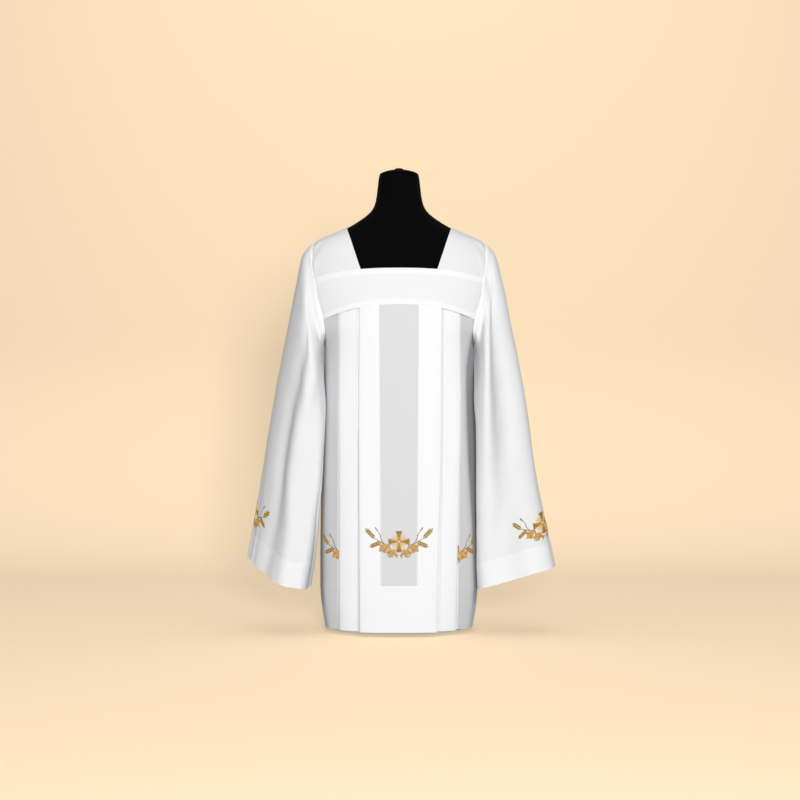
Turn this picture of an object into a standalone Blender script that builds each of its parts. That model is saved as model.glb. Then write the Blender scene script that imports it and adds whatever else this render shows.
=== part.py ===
"""A white surplice worn by a black dress form, at its real size.

Metres, +Z up. The front faces -Y and the wearer's left is +X. The origin is the centre of the
underside of the stand's foot. The garment has a square neck, a yoke front and back, a skirt
folded into stacked pleats below each yoke, and two wide sleeves.
"""

import math
from collections import namedtuple

import bmesh
import bpy

# Cloth
CLOTH = 0.0010
SEAM_GAP = 0.0004
ARMHOLE_GAP = 0.0013
HEM_HEIGHT = 0.010

# Seams, as heights at the centre, and how far each drops to its end at the armhole
NECK_POINT_X = 0.122
NECK_POINT_Z = 0.936
SHOULDER_POINT_Z = 0.901
NECK_CORNER_X = {"front": 0.087, "back": 0.103}
YOKE_TOP = {"front": 0.8335, "back": 0.8800}
YOKE_TOP_END = {"front": 0.8120, "back": 0.8560}
YOKE_HEM = 0.7515
YOKE_HEM_END = 0.7190
YOKE_TOP_CURVE = 2.6
YOKE_HEM_CURVE = 2.2
UNDERARM_Z = 0.665

# The stacked pleats
PLEAT_LAYERS = 5
FACING = {"front": -1.0, "back": 1.0}

# The stand
FOOT_LENGTH = 0.300
FOOT_WIDTH = 0.126
FOOT_THICKNESS = 0.008
FOOT_BEVEL = 0.0015
SOCKET_RADIUS = 0.021
SOCKET_HEIGHT = 0.032
POST_RADIUS = 0.0125
TORSO_BASE = 0.300

Section = namedtuple("Section", "height half_width front back squareness")
Fold = namedtuple("Fold", "yoke_x chest_x hem_x")
SideFold = namedtuple("SideFold", "height left_x right_x flatness")
Spacing = namedtuple("Spacing", "down gap")
Armhole = namedtuple("Armhole", "height x")
SleeveRow = namedtuple(
    "SleeveRow",
    "down outer_x outer_y outer_z inner_x inner_y inner_z front_depth back_depth front_drop",
)
SleeveFold = namedtuple("SleeveFold", "angle width top_depth cuff_depth")
CapRow = namedtuple("CapRow", "height radius")

# The garment seen from above, at each height: how far the cloth stands from the middle
GARMENT = [
    Section(0.000, 0.1700, 0.1240, 0.1180, 3.0),
    Section(0.085, 0.1840, 0.1245, 0.1185, 3.0),
    Section(0.160, 0.1840, 0.1250, 0.1190, 3.0),
    Section(0.340, 0.1820, 0.1240, 0.1185, 3.0),
    Section(0.500, 0.1805, 0.1230, 0.1180, 2.8),
    Section(0.600, 0.1790, 0.1215, 0.1170, 2.7),
    Section(0.640, 0.1755, 0.1205, 0.1165, 2.6),
    Section(0.665, 0.1720, 0.1195, 0.1155, 2.6),
    Section(0.690, 0.1890, 0.1180, 0.1140, 2.6),
    Section(0.719, 0.2050, 0.1160, 0.1120, 2.5),
    Section(0.770, 0.2260, 0.1100, 0.1080, 2.4),
    Section(0.812, 0.2340, 0.1010, 0.1030, 2.4),
    Section(0.850, 0.2310, 0.0920, 0.0970, 2.4),
    Section(0.880, 0.2170, 0.0840, 0.0900, 2.4),
    Section(0.901, 0.1970, 0.0780, 0.0840, 2.4),
    Section(0.936, 0.1220, 0.0640, 0.0680, 2.4),
]

# Where the sleeve is sewn on, from the underarm up to the shoulder point
ARMHOLE = [
    Armhole(0.665, 0.172),
    Armhole(0.690, 0.169),
    Armhole(0.719, 0.172),
    Armhole(0.770, 0.187),
    Armhole(0.812, 0.197),
    Armhole(0.860, 0.203),
    Armhole(0.901, 0.197),
]

# The folds of each half, from the centre panel outwards: an edge that shows, the fold behind
# it, the next edge that shows, and the fold behind that. 1 is the wearer's left half.
FOLDS = {
    1: [
        Fold(0.0973, 0.0964, 0.0878),
        Fold(0.0450, 0.0445, 0.0400),
        Fold(0.1384, 0.1400, 0.1316),
        Fold(0.0900, 0.0900, 0.0840),
    ],
    -1: [
        Fold(0.0900, 0.0914, 0.0903),
        Fold(0.0450, 0.0445, 0.0400),
        Fold(0.1352, 0.1366, 0.1373),
        Fold(0.0860, 0.0880, 0.0880),
    ],
}
SPACING = [
    Spacing(0.00, 0.0023),
    Spacing(0.12, 0.0030),
    Spacing(0.50, 0.0046),
    Spacing(1.00, 0.0062),
]

# Under the arm the cloth turns back along a soft fold, and runs nearly flat to the side seam
SIDE_FOLDS = [
    SideFold(0.000, 0.1600, 0.1600, 0.15),
    SideFold(0.100, 0.1680, 0.1700, 0.30),
    SideFold(0.250, 0.1640, 0.1720, 0.60),
    SideFold(0.400, 0.1550, 0.1670, 0.80),
    SideFold(0.560, 0.1500, 0.1640, 0.90),
    SideFold(0.610, 0.1510, 0.1630, 0.85),
    SideFold(0.665, 0.1600, 0.1660, 0.45),
    SideFold(0.719, 0.1690, 0.1700, 0.00),
]
SIDE_SHARES = [0.25, 0.5, 0.75, 1.0]
SKIRT_ROWS = [0.0, 0.020, 0.038, 0.057, 0.0768, 0.12, 0.175, 0.25, 0.37, 0.50, 0.63, 0.76, 0.88, 0.95, 1.0]

# Sleeve sections from the armhole to the cuff: the outer edge, the inner edge, and how far the
# cloth stands before and behind the line between them
LEFT_SLEEVE = [
    SleeveRow(0.00, 0.1985, 0.000, 0.901, 0.1750, 0.000, 0.665, 0.078, 0.082, 0.000),
    SleeveRow(0.08, 0.2240, 0.001, 0.876, 0.1785, -0.006, 0.640, 0.078, 0.082, 0.000),
    SleeveRow(0.18, 0.2390, 0.001, 0.812, 0.1785, -0.036, 0.598, 0.075, 0.080, 0.000),
    SleeveRow(0.30, 0.2530, 0.000, 0.735, 0.1770, -0.060, 0.545, 0.070, 0.077, 0.000),
    SleeveRow(0.45, 0.2740, -0.003, 0.632, 0.1765, -0.073, 0.465, 0.062, 0.074, 0.000),
    SleeveRow(0.60, 0.2940, -0.006, 0.520, 0.1765, -0.077, 0.375, 0.055, 0.073, 0.000),
    SleeveRow(0.75, 0.3160, -0.009, 0.375, 0.1770, -0.078, 0.270, 0.050, 0.074, -0.002),
    SleeveRow(0.88, 0.3410, -0.011, 0.250, 0.1775, -0.077, 0.180, 0.048, 0.076, -0.003),
    SleeveRow(1.00, 0.3640, -0.012, 0.147, 0.1800, -0.074, 0.101, 0.047, 0.078, -0.004),
]
RIGHT_SLEEVE = [
    SleeveRow(0.00, 0.1985, 0.000, 0.901, 0.1750, 0.000, 0.665, 0.078, 0.082, 0.000),
    SleeveRow(0.08, 0.2240, 0.001, 0.876, 0.1785, -0.006, 0.640, 0.078, 0.082, 0.000),
    SleeveRow(0.18, 0.2390, 0.002, 0.812, 0.1780, -0.038, 0.598, 0.075, 0.080, 0.001),
    SleeveRow(0.30, 0.2540, 0.003, 0.735, 0.1730, -0.064, 0.545, 0.071, 0.077, 0.003),
    SleeveRow(0.45, 0.2750, 0.005, 0.632, 0.1690, -0.081, 0.465, 0.067, 0.074, 0.006),
    SleeveRow(0.60, 0.2960, 0.006, 0.520, 0.1715, -0.085, 0.375, 0.063, 0.073, 0.009),
    SleeveRow(0.75, 0.3180, 0.008, 0.385, 0.1785, -0.085, 0.275, 0.060, 0.073, 0.012),
    SleeveRow(0.88, 0.3370, 0.009, 0.270, 0.1855, -0.082, 0.185, 0.058, 0.074, 0.016),
    SleeveRow(1.00, 0.3560, 0.010, 0.169, 0.1980, -0.076, 0.106, 0.057, 0.075, 0.019),
]
SLEEVE_STATIONS = [0.0, 0.04, 0.09, 0.15, 0.22, 0.30, 0.40, 0.50, 0.60, 0.70, 0.80, 0.90, 1.0]
SLEEVE_POINTS = 30
# Angles run from the outer edge over the front to the inner edge and on round the back
LEFT_SLEEVE_FOLDS = [
    SleeveFold(78.0, 20.0, 0.05, 0.13),
    SleeveFold(238.0, 24.0, 0.05, 0.22),
]
RIGHT_SLEEVE_FOLDS = [
    SleeveFold(52.0, 20.0, 0.07, 0.16),
    SleeveFold(128.0, 16.0, 0.03, 0.10),
    SleeveFold(250.0, 24.0, 0.05, 0.20),
]
EDGE_SHARPNESS = 1.35

# The dress form below the chest, and its neck above the shoulders
FORM_BODY = [
    Section(TORSO_BASE, 0.150, 0.0800, 0.0850, 2.3),
    Section(0.345, 0.157, 0.0860, 0.0920, 2.3),
    Section(0.400, 0.155, 0.0870, 0.0930, 2.3),
    Section(0.470, 0.138, 0.0830, 0.0840, 2.3),
    Section(0.535, 0.128, 0.0800, 0.0780, 2.3),
    Section(0.600, 0.138, 0.0870, 0.0850, 2.3),
    Section(0.650, 0.147, 0.0930, 0.0920, 2.3),
]
FORM_SHOULDER_HEIGHTS = [0.700, 0.740, 0.780, 0.820, 0.850, 0.873, 0.890, 0.901, 0.912, 0.924, 0.936]
FORM_NECK = [
    Section(0.9500, 0.0970, 0.0590, 0.0630, 2.3),
    Section(0.9636, 0.0770, 0.0560, 0.0600, 2.2),
    Section(0.9765, 0.0640, 0.0540, 0.0570, 2.1),
    Section(0.9915, 0.0560, 0.0520, 0.0540, 2.0),
    Section(1.0150, 0.0520, 0.0500, 0.0510, 2.0),
    Section(1.0400, 0.0495, 0.0490, 0.0490, 2.0),
    Section(1.0600, 0.0468, 0.0468, 0.0468, 2.0),
]
FORM_POINTS = 36
SHOULDER_EASE = 0.0027
CHEST_EASE = 0.0150
ARM_PLATE_INSET = 0.010
NECK_CAP = [
    CapRow(1.0603, 0.0466),
    CapRow(1.0630, 0.0458),
    CapRow(1.0665, 0.0390),
    CapRow(1.0700, 0.0270),
    CapRow(1.0722, 0.0150),
    CapRow(1.0728, 0.0112),
    CapRow(1.0752, 0.0100),
    CapRow(1.0765, 0.0070),
    CapRow(1.0769, 0.0030),
]
CAP_POINTS = 28


def through(rows, column):
    """A smooth function through one column of a table, keyed by the table's first column."""
    keys = [row[0] for row in rows]
    values = [getattr(row, column) for row in rows]
    rises = [(values[i + 1] - values[i]) / (keys[i + 1] - keys[i]) for i in range(len(keys) - 1)]
    slopes = [rises[0]]
    for before, after in zip(rises, rises[1:]):
        slopes.append(0.0 if before * after <= 0 else 2 * before * after / (before + after))
    slopes.append(rises[-1])

    def at(key):
        key = min(max(key, keys[0]), keys[-1])
        i = max(j for j in range(len(keys) - 1) if keys[j] <= key)
        span = keys[i + 1] - keys[i]
        t = (key - keys[i]) / span
        return (
            values[i] * (2 * t**3 - 3 * t**2 + 1)
            + slopes[i] * span * (t**3 - 2 * t**2 + t)
            + values[i + 1] * (3 * t**2 - 2 * t**3)
            + slopes[i + 1] * span * (t**3 - t**2)
        )

    return at


def mix(a, b, t):
    return a + (b - a) * t


def ease_in_out(t):
    t = min(max(t, 0.0), 1.0)
    return t * t * (3 - 2 * t)


half_width_at = through(GARMENT, "half_width")
depth_at = {side: through(GARMENT, side) for side in FACING}
squareness_at = through(GARMENT, "squareness")
armhole_x_at = through(ARMHOLE, "x")
layer_gap_at = through(SPACING, "gap")
side_fold_x_at = {1: through(SIDE_FOLDS, "left_x"), -1: through(SIDE_FOLDS, "right_x")}
side_flatness_at = through(SIDE_FOLDS, "flatness")


def cloth_y(x, z, side):
    """How far the garment's surface stands from the middle, at one x and height."""
    ratio = min(abs(x) / half_width_at(z), 1.0)
    n = squareness_at(z)
    return FACING[side] * depth_at[side](z) * (1 - ratio**n) ** (1 / n)


def plan_angle(x, z):
    """The angle round the garment's plan at which it has that x: 0 in front, 90 degrees at the side."""
    ratio = min(abs(x) / half_width_at(z), 1.0)
    return math.asin(ratio ** (squareness_at(z) / 2))


def plan_x(angle, z):
    return half_width_at(z) * math.sin(angle) ** (2 / squareness_at(z))


def yoke_top_z(x, side):
    drop = YOKE_TOP[side] - YOKE_TOP_END[side]
    end_x = armhole_x_at(YOKE_TOP_END[side])
    return YOKE_TOP[side] - drop * min(abs(x) / end_x, 1.0) ** YOKE_TOP_CURVE


def yoke_hem_z(x):
    end_x = armhole_x_at(YOKE_HEM_END)
    return YOKE_HEM - (YOKE_HEM - YOKE_HEM_END) * min(abs(x) / end_x, 1.0) ** YOKE_HEM_CURVE


def material(name, colour, roughness, metallic=0.0):
    made = bpy.data.materials.new(name)
    made.use_nodes = True
    shader = made.node_tree.nodes["Principled BSDF"]
    shader.inputs["Base Color"].default_value = (*colour, 1.0)
    shader.inputs["Roughness"].default_value = roughness
    shader.inputs["Metallic"].default_value = metallic
    return made


def add_object(name, mesh, finish):
    mesh.materials.append(finish)
    made = bpy.data.objects.new(name, mesh)
    bpy.context.scene.collection.objects.link(made)
    return made


def grid_object(name, rows, finish, closed_rows=False, capped=False):
    """A mesh through rows of points. Closed rows join round; caps close the two ends."""
    mesh = bmesh.new()
    loops = [[mesh.verts.new(point) for point in row] for row in rows]
    count = len(rows[0])
    for upper, lower in zip(loops, loops[1:]):
        for i in range(count if closed_rows else count - 1):
            j = (i + 1) % count
            mesh.faces.new((upper[i], lower[i], lower[j], upper[j]))
    if capped:
        mesh.faces.new(loops[0])
        mesh.faces.new(reversed(loops[-1]))
    bmesh.ops.recalc_face_normals(mesh, faces=mesh.faces)
    data = bpy.data.meshes.new(name)
    mesh.to_mesh(data)
    mesh.free()
    data.shade_smooth()
    return add_object(name, data, finish)


def cloth_object(name, rows, finish, closed_rows=False):
    """One piece of cloth: the surface through the rows, thickened evenly to both sides."""
    made = grid_object(name, rows, finish, closed_rows)
    wall = made.modifiers.new("Cloth thickness", "SOLIDIFY")
    wall.thickness = CLOTH
    wall.offset = 0.0
    wall.use_even_offset = False
    return made


def fold_positions(hand, down):
    """The x of each fold at a share of the way from the yoke to the hem."""
    chest_share = 0.3
    placed = []
    for fold in FOLDS[hand]:
        if down < chest_share:
            placed.append(mix(fold.yoke_x, fold.chest_x, ease_in_out(down / chest_share)))
        else:
            share = (down - chest_share) / (1 - chest_share)
            placed.append(mix(fold.chest_x, fold.hem_x, ease_in_out(share)))
    return placed


def folded_path(hand, down):
    """The folded cloth's path from beside the centre out over the last fold, as (x, layer) pairs.

    Layers that lie on each other have their points at the same x, so that they never cross.
    """
    first_edge, first_back, second_edge, second_back = fold_positions(hand, down)
    radius = layer_gap_at(down) / 2
    inner = mix(first_back, first_edge, 0.5)
    near = mix(second_back, second_edge, 1 / 3)
    far = mix(second_back, second_edge, 2 / 3)

    def turn(x, way, layer):
        return [(x + way * radius, layer), (x, layer + 0.5), (x + way * radius, layer + 1.0)]

    path = [(first_back * 0.5, 0.0), (first_back, 0.0), (inner, 0.0)]
    path += turn(first_edge, -1, 0.0) + [(inner, 1.0)]
    path += turn(first_back, 1, 1.0) + [(inner, 2.0), (second_back, 2.0), (near, 2.0), (far, 2.0)]
    path += turn(second_edge, -1, 2.0) + [(far, 3.0), (near, 3.0)]
    path += turn(second_back, 1, 3.0) + [(near, 4.0), (far, 4.0), (second_edge, 4.0)]
    return path


def side_points(side, hand, down, start_x):
    """The base layer beyond the last fold: to the fold under the arm, then back to the side seam."""
    inward = -FACING[side]
    recess = (PLEAT_LAYERS - 1) * layer_gap_at(down)
    edge_z = mix(YOKE_HEM_END, HEM_HEIGHT, down)
    sewn_to_sleeve = edge_z > UNDERARM_Z
    edge_x = armhole_x_at(edge_z) if sewn_to_sleeve else half_width_at(edge_z)
    fold_x = side_fold_x_at[hand](edge_z)

    def on_plan(x, z):
        rise = ease_in_out((x - start_x) / (edge_x - start_x))
        return cloth_y(x, z, side) + inward * (recess * (1 - rise) + CLOTH / 2)

    def height_at(x):
        return mix(yoke_hem_z(x), HEM_HEIGHT, down) - SEAM_GAP * (1 - down)

    points = []
    for x in (mix(start_x, fold_x, 0.5), fold_x):
        points.append((x, on_plan(x, height_at(x)), height_at(x)))
    fold_point = points[-1]
    if sewn_to_sleeve:
        seam_point = (edge_x, on_plan(edge_x, edge_z), height_at(edge_x))
    else:
        seam_point = (edge_x, FACING[side] * (SEAM_GAP + CLOTH) / 2, height_at(edge_x))
    for share in SIDE_SHARES[:-1]:
        z = mix(fold_point[2], seam_point[2], share)
        x = plan_x(mix(plan_angle(fold_x, z), plan_angle(edge_x, z), share), z)
        curved = (x, on_plan(x, z), z)
        flat = [mix(a, b, share) for a, b in zip(fold_point, seam_point)]
        points.append(tuple(mix(c, f, side_flatness_at(edge_z)) for c, f in zip(curved, flat)))
    points.append(seam_point)
    return points


def half_skirt_row(side, hand, down):
    """One level of half the skirt, from beside the centre to the side seam."""
    inward = -FACING[side]
    gap = layer_gap_at(down)
    row = []
    for x, layer in folded_path(hand, down):
        z = mix(yoke_hem_z(x), HEM_HEIGHT, down) - SEAM_GAP * (1 - down)
        row.append((x, cloth_y(x, z, side) + inward * (layer * gap + CLOTH / 2), z))
    row += side_points(side, hand, down, row[-1][0])
    return [(hand * x, y, z) for x, y, z in row]


def skirt_piece(side, finish):
    """The pleated front or back, from the yoke and armholes down to the hem."""
    rows = []
    for down in SKIRT_ROWS:
        z = mix(YOKE_HEM, HEM_HEIGHT, down) - SEAM_GAP * (1 - down)
        centre = (0.0, cloth_y(0.0, z, side) - FACING[side] * CLOTH / 2, z)
        right_half = half_skirt_row(side, -1, down)
        left_half = half_skirt_row(side, 1, down)
        rows.append(right_half[::-1] + [centre] + left_half)
    return cloth_object(f"skirt_{side}", rows, finish)


def yoke_band(side, finish):
    """The band across the chest or the back, from the neck opening down to the pleats."""
    down_shares = [0.0, 0.25, 0.5, 0.75, 1.0]
    halves = 14
    rows = []
    for down in down_shares:
        edge_z = mix(YOKE_TOP_END[side], YOKE_HEM_END, down)
        row = []
        for i in range(-halves, halves + 1):
            across = i / halves
            top_z = yoke_top_z(across * armhole_x_at(YOKE_TOP_END[side]), side) - SEAM_GAP
            hem_z = yoke_hem_z(across * armhole_x_at(YOKE_HEM_END))
            z = mix(top_z, hem_z, down)
            x = across * armhole_x_at(edge_z)
            y = cloth_y(x, z, side) - FACING[side] * CLOTH / 2
            row.append((x, y, z))
        rows.append(row)
    return cloth_object(f"yoke_{side}", rows, finish)


def shoulder_piece(name, hand, finish):
    """The strap from the front yoke over the shoulder to the back yoke."""
    steps = 11
    across_steps = 5
    rows = []
    for i in range(-steps, steps + 1):
        along = i / steps
        side = "front" if along < 0 else "back"
        share = along * along
        row = []
        for j in range(across_steps + 1):
            across = j / across_steps
            ridge_z = mix(NECK_POINT_Z, SHOULDER_POINT_Z, across)
            corner_x = NECK_CORNER_X[side]
            end_x = mix(corner_x, armhole_x_at(YOKE_TOP_END[side]), across)
            end_z = yoke_top_z(end_x, side)
            z = mix(ridge_z, end_z, share)
            neck_x = mix(NECK_POINT_X, corner_x, share)
            edge_z = mix(SHOULDER_POINT_Z, YOKE_TOP_END[side], share)
            x = mix(neck_x, armhole_x_at(edge_z), across)
            straight_x = mix(NECK_POINT_X, armhole_x_at(SHOULDER_POINT_Z), across)
            x += (half_width_at(ridge_z) - straight_x) * (1 - share)
            y = cloth_y(x, z, side)
            row.append((hand * x, y, z))
        rows.append(row)
    return cloth_object(name, rows, finish)


def sleeve_piece(name, hand, table, folds, finish):
    """A wide tube from the armhole to the cuff, deeper behind than before."""
    columns = {column: through(table, column) for column in SleeveRow._fields[1:]}
    middle_z = (SHOULDER_POINT_Z + UNDERARM_Z) / 2
    half_height = (SHOULDER_POINT_Z - UNDERARM_Z) / 2
    rings = []
    for down in SLEEVE_STATIONS:
        at = {column: smooth(down) for column, smooth in columns.items()}
        outer = (at["outer_x"], at["outer_y"], at["outer_z"])
        inner = (at["inner_x"], at["inner_y"], at["inner_z"])
        centre = [mix(a, b, 0.5) for a, b in zip(outer, inner)]
        reach = [(a - b) / 2 for a, b in zip(outer, inner)]
        armhole_share = 1 - ease_in_out(down / 0.16)
        ring = []
        for i in range(SLEEVE_POINTS):
            angle = 2 * math.pi * i / SLEEVE_POINTS
            side = "front" if math.sin(angle) >= 0 else "back"
            sharpness = mix(1.0, EDGE_SHARPNESS, ease_in_out(down * 2))
            bulge = abs(math.sin(angle)) ** sharpness
            for fold in folds:
                depth = mix(fold.top_depth, fold.cuff_depth, ease_in_out(down))
                away = (math.degrees(angle) - fold.angle) / fold.width
                bulge *= 1 - depth * math.exp(-away * away)
            y = FACING[side] * at[side + "_depth"] * bulge
            drop = at["front_drop"] * -FACING[side] * bulge
            point = [c + r * math.cos(angle) for c, r in zip(centre, reach)]
            point[1] += y
            point[2] -= drop
            hole_z = middle_z + half_height * math.cos(angle)
            hole_x = armhole_x_at(hole_z)
            hole = (hole_x + ARMHOLE_GAP, cloth_y(hole_x, hole_z, side), hole_z)
            if down == 0.0:
                point = list(hole)
            elif armhole_share > 0:
                straight_y = mix(point[1], hole[1], armhole_share)
                point[1] = straight_y
            ring.append((hand * point[0], point[1], point[2]))
        rings.append(ring)
    return cloth_object(name, rings, finish, closed_rows=True)


def form_ring(section, plate_x=None):
    """One closed section of the dress form, cut off flat at the arm plate where it has one."""
    ring = []
    for i in range(FORM_POINTS):
        angle = 2 * math.pi * i / FORM_POINTS
        power = 2 / section.squareness
        x = section.half_width * abs(math.cos(angle)) ** power
        if plate_x is not None:
            x = min(x, plate_x)
        depth = section.front if math.sin(angle) < 0 else section.back
        y = depth * abs(math.sin(angle)) ** power
        ring.append((math.copysign(x, math.cos(angle)), math.copysign(y, math.sin(angle)), section.height))
    return ring


def torso_piece(finish):
    """The covered torso, from its flat base to the top of the neck."""
    rings = [form_ring(section) for section in FORM_BODY]
    for height in FORM_SHOULDER_HEIGHTS:
        near_shoulder = ease_in_out((height - 0.74) / (SHOULDER_POINT_Z - 0.74))
        ease = mix(CHEST_EASE, SHOULDER_EASE, near_shoulder)
        section = Section(
            height,
            half_width_at(height) - ease,
            depth_at["front"](height) - ease,
            depth_at["back"](height) - ease,
            squareness_at(height),
        )
        rings.append(form_ring(section, armhole_x_at(height) - ARM_PLATE_INSET))
    rings += [form_ring(section) for section in FORM_NECK]
    return grid_object("form_torso", rings, finish, closed_rows=True, capped=True)


def turned_object(name, profile, points, finish):
    """A round piece turned about Z from (height, radius) rows, closed by flat ends."""
    rings = []
    for height, radius in profile:
        angles = [2 * math.pi * i / points for i in range(points)]
        rings.append([(radius * math.cos(a), radius * math.sin(a), height) for a in angles])
    made = grid_object(name, rings, finish, closed_rows=True, capped=True)
    made.data.set_sharp_from_angle(angle=math.radians(40))
    return made


def foot_piece(finish):
    """The oval foot plate, with the socket that the post stands in."""
    mesh = bmesh.new()
    bmesh.ops.create_cone(
        mesh, cap_ends=True, segments=48, radius1=0.5, radius2=0.5, depth=FOOT_THICKNESS
    )
    bmesh.ops.scale(mesh, vec=(FOOT_LENGTH, FOOT_WIDTH, 1.0), verts=mesh.verts)
    bmesh.ops.translate(mesh, vec=(0, 0, FOOT_THICKNESS / 2), verts=mesh.verts)
    top_edges = [
        edge for edge in mesh.edges if all(v.co.z > FOOT_THICKNESS * 0.9 for v in edge.verts)
    ]
    bmesh.ops.bevel(mesh, geom=top_edges, offset=FOOT_BEVEL, segments=2, affect="EDGES")
    data = bpy.data.meshes.new("form_foot")
    mesh.to_mesh(data)
    mesh.free()
    return add_object("form_foot", data, finish)


def main():
    for old in list(bpy.data.objects):
        bpy.data.objects.remove(old)
    white_cloth = material("white_cloth", (0.86, 0.86, 0.88), 0.72)
    black_jersey = material("black_jersey", (0.006, 0.006, 0.007), 0.85)
    black_steel = material("black_steel", (0.010, 0.010, 0.011), 0.45, 0.6)

    for side in FACING:
        skirt_piece(side, white_cloth)
        yoke_band(side, white_cloth)
    shoulder_piece("shoulder_left", 1, white_cloth)
    shoulder_piece("shoulder_right", -1, white_cloth)
    sleeve_piece("sleeve_left", 1, LEFT_SLEEVE, LEFT_SLEEVE_FOLDS, white_cloth)
    sleeve_piece("sleeve_right", -1, RIGHT_SLEEVE, RIGHT_SLEEVE_FOLDS, white_cloth)

    torso_piece(black_jersey)
    turned_object("form_neck_cap", NECK_CAP, CAP_POINTS, black_jersey)
    foot_piece(black_steel)
    socket_top = FOOT_THICKNESS + SOCKET_HEIGHT
    socket = [
        (FOOT_THICKNESS + SEAM_GAP, SOCKET_RADIUS),
        (socket_top - 0.004, SOCKET_RADIUS * 0.92),
        (socket_top, SOCKET_RADIUS * 0.80),
    ]
    turned_object("form_socket", socket, 28, black_steel)
    post = [(socket_top + SEAM_GAP, POST_RADIUS), (TORSO_BASE - SEAM_GAP, POST_RADIUS)]
    turned_object("form_post", post, 24, black_steel)


main()
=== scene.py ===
"""The looks of a white surplice on a black dress form: cloth, seams, embroidery and finishes."""

import math
from collections import namedtuple
from functools import lru_cache
from random import Random

import bpy
import numpy as np
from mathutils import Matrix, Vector, noise
from mathutils.bvhtree import BVHTree


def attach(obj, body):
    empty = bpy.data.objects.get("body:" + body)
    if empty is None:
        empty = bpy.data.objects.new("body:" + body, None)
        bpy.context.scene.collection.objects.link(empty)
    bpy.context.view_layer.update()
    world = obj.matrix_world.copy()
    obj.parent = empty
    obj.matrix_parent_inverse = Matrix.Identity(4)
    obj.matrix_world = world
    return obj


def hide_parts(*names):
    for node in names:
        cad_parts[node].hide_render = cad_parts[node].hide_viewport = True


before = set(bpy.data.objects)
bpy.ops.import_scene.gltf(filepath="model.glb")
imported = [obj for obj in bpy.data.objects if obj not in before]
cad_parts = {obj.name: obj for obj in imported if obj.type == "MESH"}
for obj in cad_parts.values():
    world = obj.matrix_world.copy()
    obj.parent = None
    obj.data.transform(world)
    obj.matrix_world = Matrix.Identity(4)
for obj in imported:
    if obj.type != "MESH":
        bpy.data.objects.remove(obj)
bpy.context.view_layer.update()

Section = namedtuple("Section", "height half_width front back squareness")
Fold = namedtuple("Fold", "yoke_x chest_x hem_x")
SideFold = namedtuple("SideFold", "height left_x right_x flatness")
Spacing = namedtuple("Spacing", "down gap")
Armhole = namedtuple("Armhole", "height x")
SleeveRow = namedtuple(
    "SleeveRow",
    "down outer_x outer_y outer_z inner_x inner_y inner_z front_depth back_depth front_drop",
)
SleeveFold = namedtuple("SleeveFold", "angle width top_depth cuff_depth")
Crease = namedtuple("Crease", "downs angles widths depths")
InsideShade = namedtuple("InsideShade", "first_angle full_angle first_down full_down amount")
Sleeve = namedtuple("Sleeve", "word hand table folds creases motif_shift")
SkirtCrease = namedtuple("SkirtCrease", "top_x top_z foot_x foot_z width depth")
Satin = namedtuple("Satin", "path widths colour slant")

# The camera stands where the photograph was taken from
CAMERA_PLACE = (0.0023, -3.125, 0.534)
CAMERA_LENS = 60.0
SENSOR = 36.0

# Cloth, as cut and sewn
CLOTH = 0.0008
SEAM_GAP = 0.0003
ARMHOLE_GAP = 0.0007
HEM_HEIGHT = 0.010
HEM_DEPTH = 0.104
CUFF_DEPTH = 0.058
HEM_RELIEF = 0.0004
HEM_STEP = 0.0008
WELT_WIDTH = 0.012
WELT_RELIEF = 0.0008
ARMHOLE_RIDGE = 0.009
ARMHOLE_RIDGE_WIDTH = 0.004
ARMHOLE_RELIEF = 0.0016
SEAM_SINK = 0.0016
SHARP_DEGREES = 55
YOKE_CUT = {"front": (0.116, 0.0355), "back": (0.162, 0.0548)}
UNEVEN_SIZE = 0.055
UNEVEN_DEPTH = 0.0008

# The garment's form, and the seams' places on it
NECK_POINT_X = 0.122
NECK_POINT_Z = 0.936
SHOULDER_POINT_Z = 0.901
NECK_CORNER_X = {"front": 0.087, "back": 0.103}
YOKE_TOP = {"front": 0.8335, "back": 0.8800}
YOKE_TOP_END = {"front": 0.8120, "back": 0.8560}
YOKE_HEM = 0.7515
YOKE_HEM_END = 0.7190
YOKE_TOP_CURVE = 2.6
YOKE_HEM_CURVE = 2.2
UNDERARM_Z = 0.665
PLEAT_LAYERS = 5
LAST_LAYER_POINTS = 3
CHEST_SHARE = 0.3
ARMHOLE_SHARE = 0.16
STRIPE_X = (0.0450, 0.0400)
FOLD_EDGE = 0.0004
YOKE_OVERLAP = 0.0008
YOKE_LIFT = 0.0002
SHOULDER_LIFT = 0.0003
PUCKER_LENGTH = 0.021
PUCKER_DEPTH = 0.0011
PUCKER_FROM_SEAM = 0.010
PUCKER_BAND = 0.011
HANDS = {"left": 1, "right": -1}
FACING = {"front": -1.0, "back": 1.0}

GARMENT = [
    Section(0.000, 0.1700, 0.1240, 0.1180, 3.0),
    Section(0.085, 0.1840, 0.1245, 0.1185, 3.0),
    Section(0.160, 0.1840, 0.1250, 0.1190, 3.0),
    Section(0.340, 0.1820, 0.1240, 0.1185, 3.0),
    Section(0.500, 0.1805, 0.1230, 0.1180, 2.8),
    Section(0.600, 0.1790, 0.1215, 0.1170, 2.7),
    Section(0.640, 0.1755, 0.1205, 0.1165, 2.6),
    Section(0.665, 0.1720, 0.1195, 0.1155, 2.6),
    Section(0.690, 0.1890, 0.1180, 0.1140, 2.6),
    Section(0.719, 0.2050, 0.1160, 0.1120, 2.5),
    Section(0.770, 0.2260, 0.1100, 0.1080, 2.4),
    Section(0.812, 0.2340, 0.1010, 0.1030, 2.4),
    Section(0.850, 0.2310, 0.0920, 0.0970, 2.4),
    Section(0.880, 0.2170, 0.0840, 0.0900, 2.4),
    Section(0.901, 0.1970, 0.0780, 0.0840, 2.4),
    Section(0.936, 0.1220, 0.0640, 0.0680, 2.4),
]
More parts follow.
